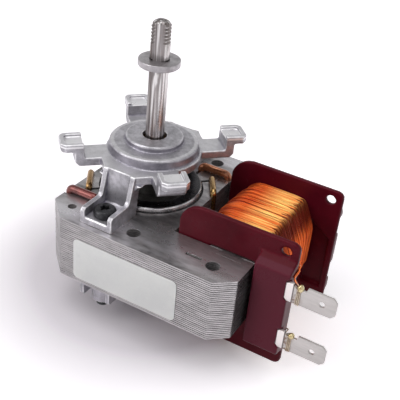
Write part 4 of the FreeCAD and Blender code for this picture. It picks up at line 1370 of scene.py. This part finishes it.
def smooth_line(points, steps=8):
    """A smooth line through points."""
    line = []
    count = len(points)
    for i in range(count - 1):
        p0, p1 = points[max(i - 1, 0)], points[i]
        p2, p3 = points[i + 1], points[min(i + 2, count - 1)]
        for k in range(steps):
            t = k / steps
            line.append(0.5 * ((2 * p1) + (p2 - p0) * t + (2 * p0 - 5 * p1 + 4 * p2 - p3) * t * t
                               + (3 * p1 - p0 - 3 * p2 + p3) * t ** 3))
    line.append(points[-1])
    return line


class Tab:
    """Where a coil's end meets its terminal: the tab's neck, and the bead on it."""

    def __init__(self, level):
        self.level = level
        low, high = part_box(f"{level}_terminal")
        self.plane = (low.y + high.y) / 2
        self.half_thickness = (high.y - low.y) / 2
        self.neck_low, self.neck_top = low.z, high.z - 1.3 * MM
        self.bead_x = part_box(f"{level}_coil_lead")[1].x - 1.6 * MM
        self.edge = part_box("bobbin")[1].x
        self.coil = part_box("coil_winding")

    def route(self, rises):
        """The lead's way from the coil round the bobbin's edge to the tab's neck."""
        inside = self.coil[0].y + 0.6 * MM
        places = ((self.coil[1].x - 1.0 * MM, inside), (self.edge - 0.5 * MM, inside - 0.1 * MM),
                  (self.edge + 0.3 * MM, inside - 1.0 * MM), (self.edge + 0.4 * MM, self.plane + 1.6 * MM),
                  (self.bead_x - 0.9 * MM, self.plane + 0.6 * MM))
        return [Vector((*place, self.neck_top + rise * MM)) for place, rise in zip(places, rises)]

    def wraps(self, wire_radius, turns=3.25, steps=16):
        """Turns of the lead round the tab's neck."""
        half_z = (self.neck_top - self.neck_low) / 2 + wire_radius
        centre_z = (self.neck_top + self.neck_low) / 2
        half_y = self.half_thickness + wire_radius
        points = []
        for k in range(int(turns * steps)):
            angle = math.pi / 2 + math.tau * k / steps
            cosine, sine = math.cos(angle), math.sin(angle)
            points.append(Vector((self.bead_x - 1.0 * MM + 0.42 * MM * k / steps,
                                  self.plane - half_y * math.copysign(abs(cosine) ** 0.45, cosine),
                                  centre_z + half_z * math.copysign(abs(sine) ** 0.3, sine))))
        return points

    def bead(self, seed):
        """A lobed drop of solder on the neck."""
        shape = bmesh.new()
        bmesh.ops.create_icosphere(shape, subdivisions=4, radius=0.88 * MM)
        rng = random.Random(seed)
        lobes = [(Vector((rng.uniform(-1, 1), rng.uniform(-1, 1), rng.uniform(-1, 1))).normalized(),
                  rng.uniform(-0.14, 0.16)) for _ in range(9)]
        for vert in shape.verts:
            heading = vert.co.normalized()
            vert.co *= 1 + sum(a * max(0.0, heading.dot(d)) ** 4 for d, a in lobes)
            if vert.co.z < 0:
                vert.co.z *= 1.35
                vert.co.y *= 0.9
            vert.co += Vector((self.bead_x, self.plane, self.neck_top + 0.4 * MM))
        return plain_mesh(shape, f"{self.level}_solder_bead")


class FANMOTOR_OT_coil_ends(bpy.types.Operator):
    """Lead the coil's ends to the tabs, wrap them and solder them"""

    bl_idname = "fan_motor.coil_ends"
    bl_label = "Coil ends"

    def execute(self, context):
        wire_radius = context.scene.fan_motor.winding.wire_radius
        tree = bpy.data.node_groups["drawn_wire"]
        for level, rises, strands, tinned_from, seed in (
                ("upper", (2.4, 1.6, 1.3, 1.0, 0.4), 7, 0.8 * MM, 5),
                ("lower", (-2.8, -2.8, -2.7, -1.6, 0.4), 0, -1.6 * MM, 9)):
            tab = Tab(level)
            route = tab.route(rises)
            lines = []
            for k in range(1, strands + 1):
                aside = Vector((-0.1 * k * MM, 0.28 * k * MM, (1.6 - 0.1 * k) * MM))
                spread = [p + aside * (1 - i / 4) for i, p in enumerate(route)]
                lines.append([p[:] for p in smooth_line(spread)])
            lines.append([p[:] for p in smooth_line(route) + tab.wraps(wire_radius)])
            name = f"{level}_lead_wire"
            mesh = line_mesh(name, lines, [[0.35] * len(line) for line in lines])
            inputs = {"Wire radius": wire_radius, "Sides": 8, "Copper": bpy.data.materials["tinned_lead"]}
            wire = geometry_piece(name, mesh, tree, inputs)
            across = point_array(wire.data)[:, 0]
            set_attribute(wire.data, "tinned", ramp(across, tab.edge + tinned_from, 1.6 * MM))
            finish_piece(wire, STATOR, f"{level}_coil_lead", None)
            blob = put_in_scene(f"{level}_solder_bead", tab.bead(seed))
            blob.data.shade_smooth()
            finish_piece(blob, STATOR, None, "solder_and_flux")
        return {"FINISHED"}


def ring_line(start, end, low, high, bend):
    """Closed line of a shading ring between two upright legs, with bent corners."""
    along = (end - start).normalized()
    span = (end - start).length
    loop = rounded_loop([(0, low), (0, high), (span, high), (span, low)], [bend] * 4)
    return [start + along * p[0] + Vector((0, 0, p[1])) for p in loop]


def ring_wire(name, line, radius):
    """A piece of round wire along a closed line."""
    curve = bpy.data.curves.new(name, "CURVE")
    curve.dimensions = "3D"
    curve.bevel_depth = radius
    curve.bevel_resolution = 6
    spline = curve.splines.new("POLY")
    spline.points.add(len(line) - 1)
    for target, point in zip(spline.points, line):
        target.co = (*point, 1.0)
    spline.use_cyclic_u = True
    holder = put_in_scene(f"{name}_line", curve)
    graph = bpy.context.evaluated_depsgraph_get()
    mesh = bpy.data.meshes.new_from_object(holder.evaluated_get(graph))
    bpy.data.objects.remove(holder)
    mesh.name = name
    face_outwards(mesh)
    mesh.shade_smooth()
    return put_in_scene(name, mesh)


class FANMOTOR_OT_shading_rings(bpy.types.Operator):
    """Bend the two thick and the two thin shading rings"""

    bl_idname = "fan_motor.shading_rings"
    bl_label = "Shading rings"

    def execute(self, context):
        stack_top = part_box("stator_core")[1].z
        for kind, slot, finish in (("thick", "lacquered_copper", "lacquered_ring"),
                                   ("thin", "bare_copper", "bare_ring")):
            for place in ("front", "rear"):
                node = f"{place}_{kind}_shading_ring"
                low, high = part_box(node)
                radius = (high.z - stack_top - 0.1 * MM) / 2
                near, far = low.y + radius, high.y - radius
                if kind == "thick":
                    near = far = (low.y + high.y) / 2
                left, right = Vector((low.x + radius, far, 0)), Vector((high.x - radius, near, 0))
                line = ring_line(left, right, low.z + radius, high.z - radius, radius + 0.1 * MM)
                finish_piece(ring_wire(f"{node}_wire", line, radius), STATOR, node, finish)
        return {"FINISHED"}


class FANMOTOR_OT_label(bpy.types.Operator):
    """Stick the rating label on the stack's side"""

    bl_idname = "fan_motor.label"
    bl_label = "Label"

    def execute(self, context):
        dress("rating_label", "bare_rating_label", STATOR, "label_film", "blank_label", 0.04 * MM, 2, 40.0)
        return {"FINISHED"}


class FANMOTOR_OT_rotor(bpy.types.Operator):
    """Dress the rotor's cage, sheets and spacers"""

    bl_idname = "fan_motor.rotor"
    bl_label = "Rotor"

    def execute(self, context):
        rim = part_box("rotor_cage")[1].x - 0.6 * MM
        dress("rotor_cage", "rotor_cage_turned", ROTOR, "cast_aluminium", "turned_aluminium",
              0.22 * MM, 2, 30.0, rim, 0.45 * MM)
        dress("rotor_core", "rotor_core_turned", ROTOR, "rotor_steel", "laminated_rotor", 0.0)
        for kind, slot, finish, edge in (("rotor_spacer", "spacer_plastic", "spacer_nylon", 0.12 * MM),
                                         ("thrust_washer", "washer_plastic", "thrust_nylon", 0.08 * MM)):
            for place in ("front", "rear"):
                node = f"{place}_{kind}"
                dress(node, f"{node}_turned", ROTOR, slot, finish, edge)
        return {"FINISHED"}


class FANMOTOR_OT_bearings(bpy.types.Operator):
    """Finish the bushes, felts and clips inside the hubs"""

    bl_idname = "fan_motor.bearings"
    bl_label = "Bearings"

    def execute(self, context):
        for place in ("front", "rear"):
            for kind, slot, finish in (("bush", "sintered_bronze", "sintered_bush"),
                                       ("oil_felt", "oiled_felt", "soaked_felt"),
                                       ("bush_clip", "spring_steel", "spring_clip")):
                node = f"{place}_{kind}"
                dress(node, f"{node}_dressed", STATOR, slot, finish, 0.0)
        return {"FINISHED"}


def soft_lamp(name, place, target, size, level, colour):
    """A square softbox whose face shines at a level, where 1 is a white surface."""
    lamp = bpy.data.lights.new(name, "AREA")
    lamp.shape = "SQUARE"
    lamp.size = size
    lamp.energy = level * math.pi * size * size
    lamp.color = colour
    holder = bpy.data.objects.new(name, lamp)
    holder.location = place
    holder.rotation_euler = (Vector(target) - Vector(place)).to_track_quat("-Z", "Y").to_euler()
    bpy.context.scene.collection.objects.link(holder)


def white_room():
    """A world that is white to the camera and to metal, and dim for the light it casts."""
    world = bpy.data.worlds.new("white_room")
    world.use_nodes = True
    world.node_tree.nodes.clear()
    tree = Tree(world.node_tree)
    ray = tree.node("ShaderNodeTexCoord").outputs["Generated"]
    rise = tree.node("ShaderNodeSeparateXYZ", {0: ray}).outputs[2]
    strength = tree.spread(tree.seen(), 0.0, 1.0, 0.1, tree.spread(rise, 0.1, 0.6, 1.0, 0.5))
    glow = tree.node("ShaderNodeBackground", {"Color": (1.0, 1.0, 1.0, 1.0), "Strength": strength})
    tree.node("ShaderNodeOutputWorld", {"Surface": glow})
    return world


def photo_camera():
    """The camera, with its lens, place and axes as fitted to the photograph."""
    lens = bpy.data.cameras.new("photo_camera")
    lens.lens = 70.03
    lens.sensor_width = 36.0
    lens.sensor_fit = "HORIZONTAL"
    lens.clip_start = 0.01
    camera = bpy.data.objects.new("photo_camera", lens)
    right = (0.86481, 0.49436, 0.08775)
    up = (-0.33249, 0.43291, 0.83788)
    back = (0.37623, -0.75378, 0.53876)
    turn = Matrix((right, up, back)).transposed().to_4x4()
    camera.matrix_world = Matrix.Translation((0.104406, -0.174925, 0.111212)) @ turn
    return camera


class FANMOTOR_OT_stage(bpy.types.Operator):
    """Set the floor, the soft lamps, the world and the camera"""

    bl_idname = "fan_motor.stage"
    bl_label = "Stage"

    def execute(self, context):
        scene = context.scene
        half, height = 4.0, cad_box[0].z
        corners = [(x * half, y * half, height) for x, y in ((-1, -1), (1, -1), (1, 1), (-1, 1))]
        mesh = bpy.data.meshes.new("floor")
        mesh.from_pydata(corners, [], [(0, 1, 2, 3)])
        mesh.materials.append(bpy.data.materials["pale_floor"])
        put_in_scene("floor", mesh)
        for name, place, size, level, colour in (
                ("top_softbox", (-0.15, -0.2, 1.2), 1.1, 2.0, (1.0, 1.0, 1.0)),
                ("left_softbox", (-0.9, -1.0, 0.75), 0.9, 3.4, (1.0, 0.99, 0.98)),
                ("right_softbox", (1.1, -0.4, 0.9), 0.8, 0.7, (1.0, 0.98, 0.97))):
            soft_lamp(name, place, (0.02, 0.0, -0.01), size, level, colour)
        scene.world = white_room()
        scene.camera = photo_camera()
        scene.collection.objects.link(scene.camera)
        scene.view_settings.view_transform = "Standard"
        return {"FINISHED"}


OPERATORS = (FANMOTOR_OT_finishes, FANMOTOR_OT_sheets, FANMOTOR_OT_castings, FANMOTOR_OT_bobbin,
             FANMOTOR_OT_screws, FANMOTOR_OT_shaft, FANMOTOR_OT_winding, FANMOTOR_OT_terminals,
             FANMOTOR_OT_coil_ends, FANMOTOR_OT_shading_rings, FANMOTOR_OT_label, FANMOTOR_OT_rotor,
             FANMOTOR_OT_bearings, FANMOTOR_OT_stage)


class FANMOTOR_PT_panel(bpy.types.Panel):
    """Steps that build the fan motor, in order, and their settings"""

    bl_idname = "FANMOTOR_PT_panel"
    bl_label = "Fan motor"
    bl_space_type = "VIEW_3D"
    bl_region_type = "UI"
    bl_category = "Fan motor"

    def draw(self, context):
        settings = context.scene.fan_motor
        for operator in OPERATORS:
            self.layout.operator(operator.bl_idname)
        for key in settings.__annotations__:
            group = getattr(settings, key)
            box = self.layout.box()
            box.label(text=settings.bl_rna.properties[key].name)
            for name in group.__annotations__:
                box.prop(group, name)


CLASSES = (FinishSettings, StackSettings, CastingSettings, ShaftSettings, WindingSettings,
           FanMotorSettings, *OPERATORS, FANMOTOR_PT_panel)


def register():
    for made in CLASSES:
        bpy.utils.register_class(made)
    bpy.types.Scene.fan_motor = PointerProperty(type=FanMotorSettings)


def unregister():
    del bpy.types.Scene.fan_motor
    for made in reversed(CLASSES):
        bpy.utils.unregister_class(made)


def main():
    register()
    for operator in OPERATORS:
        category, name = operator.bl_idname.split(".")
        result = getattr(getattr(bpy.ops, category), name)()
        if result != {"FINISHED"}:
            raise RuntimeError(f"{operator.bl_label} did not finish")


if __name__ == "__main__":
    main()
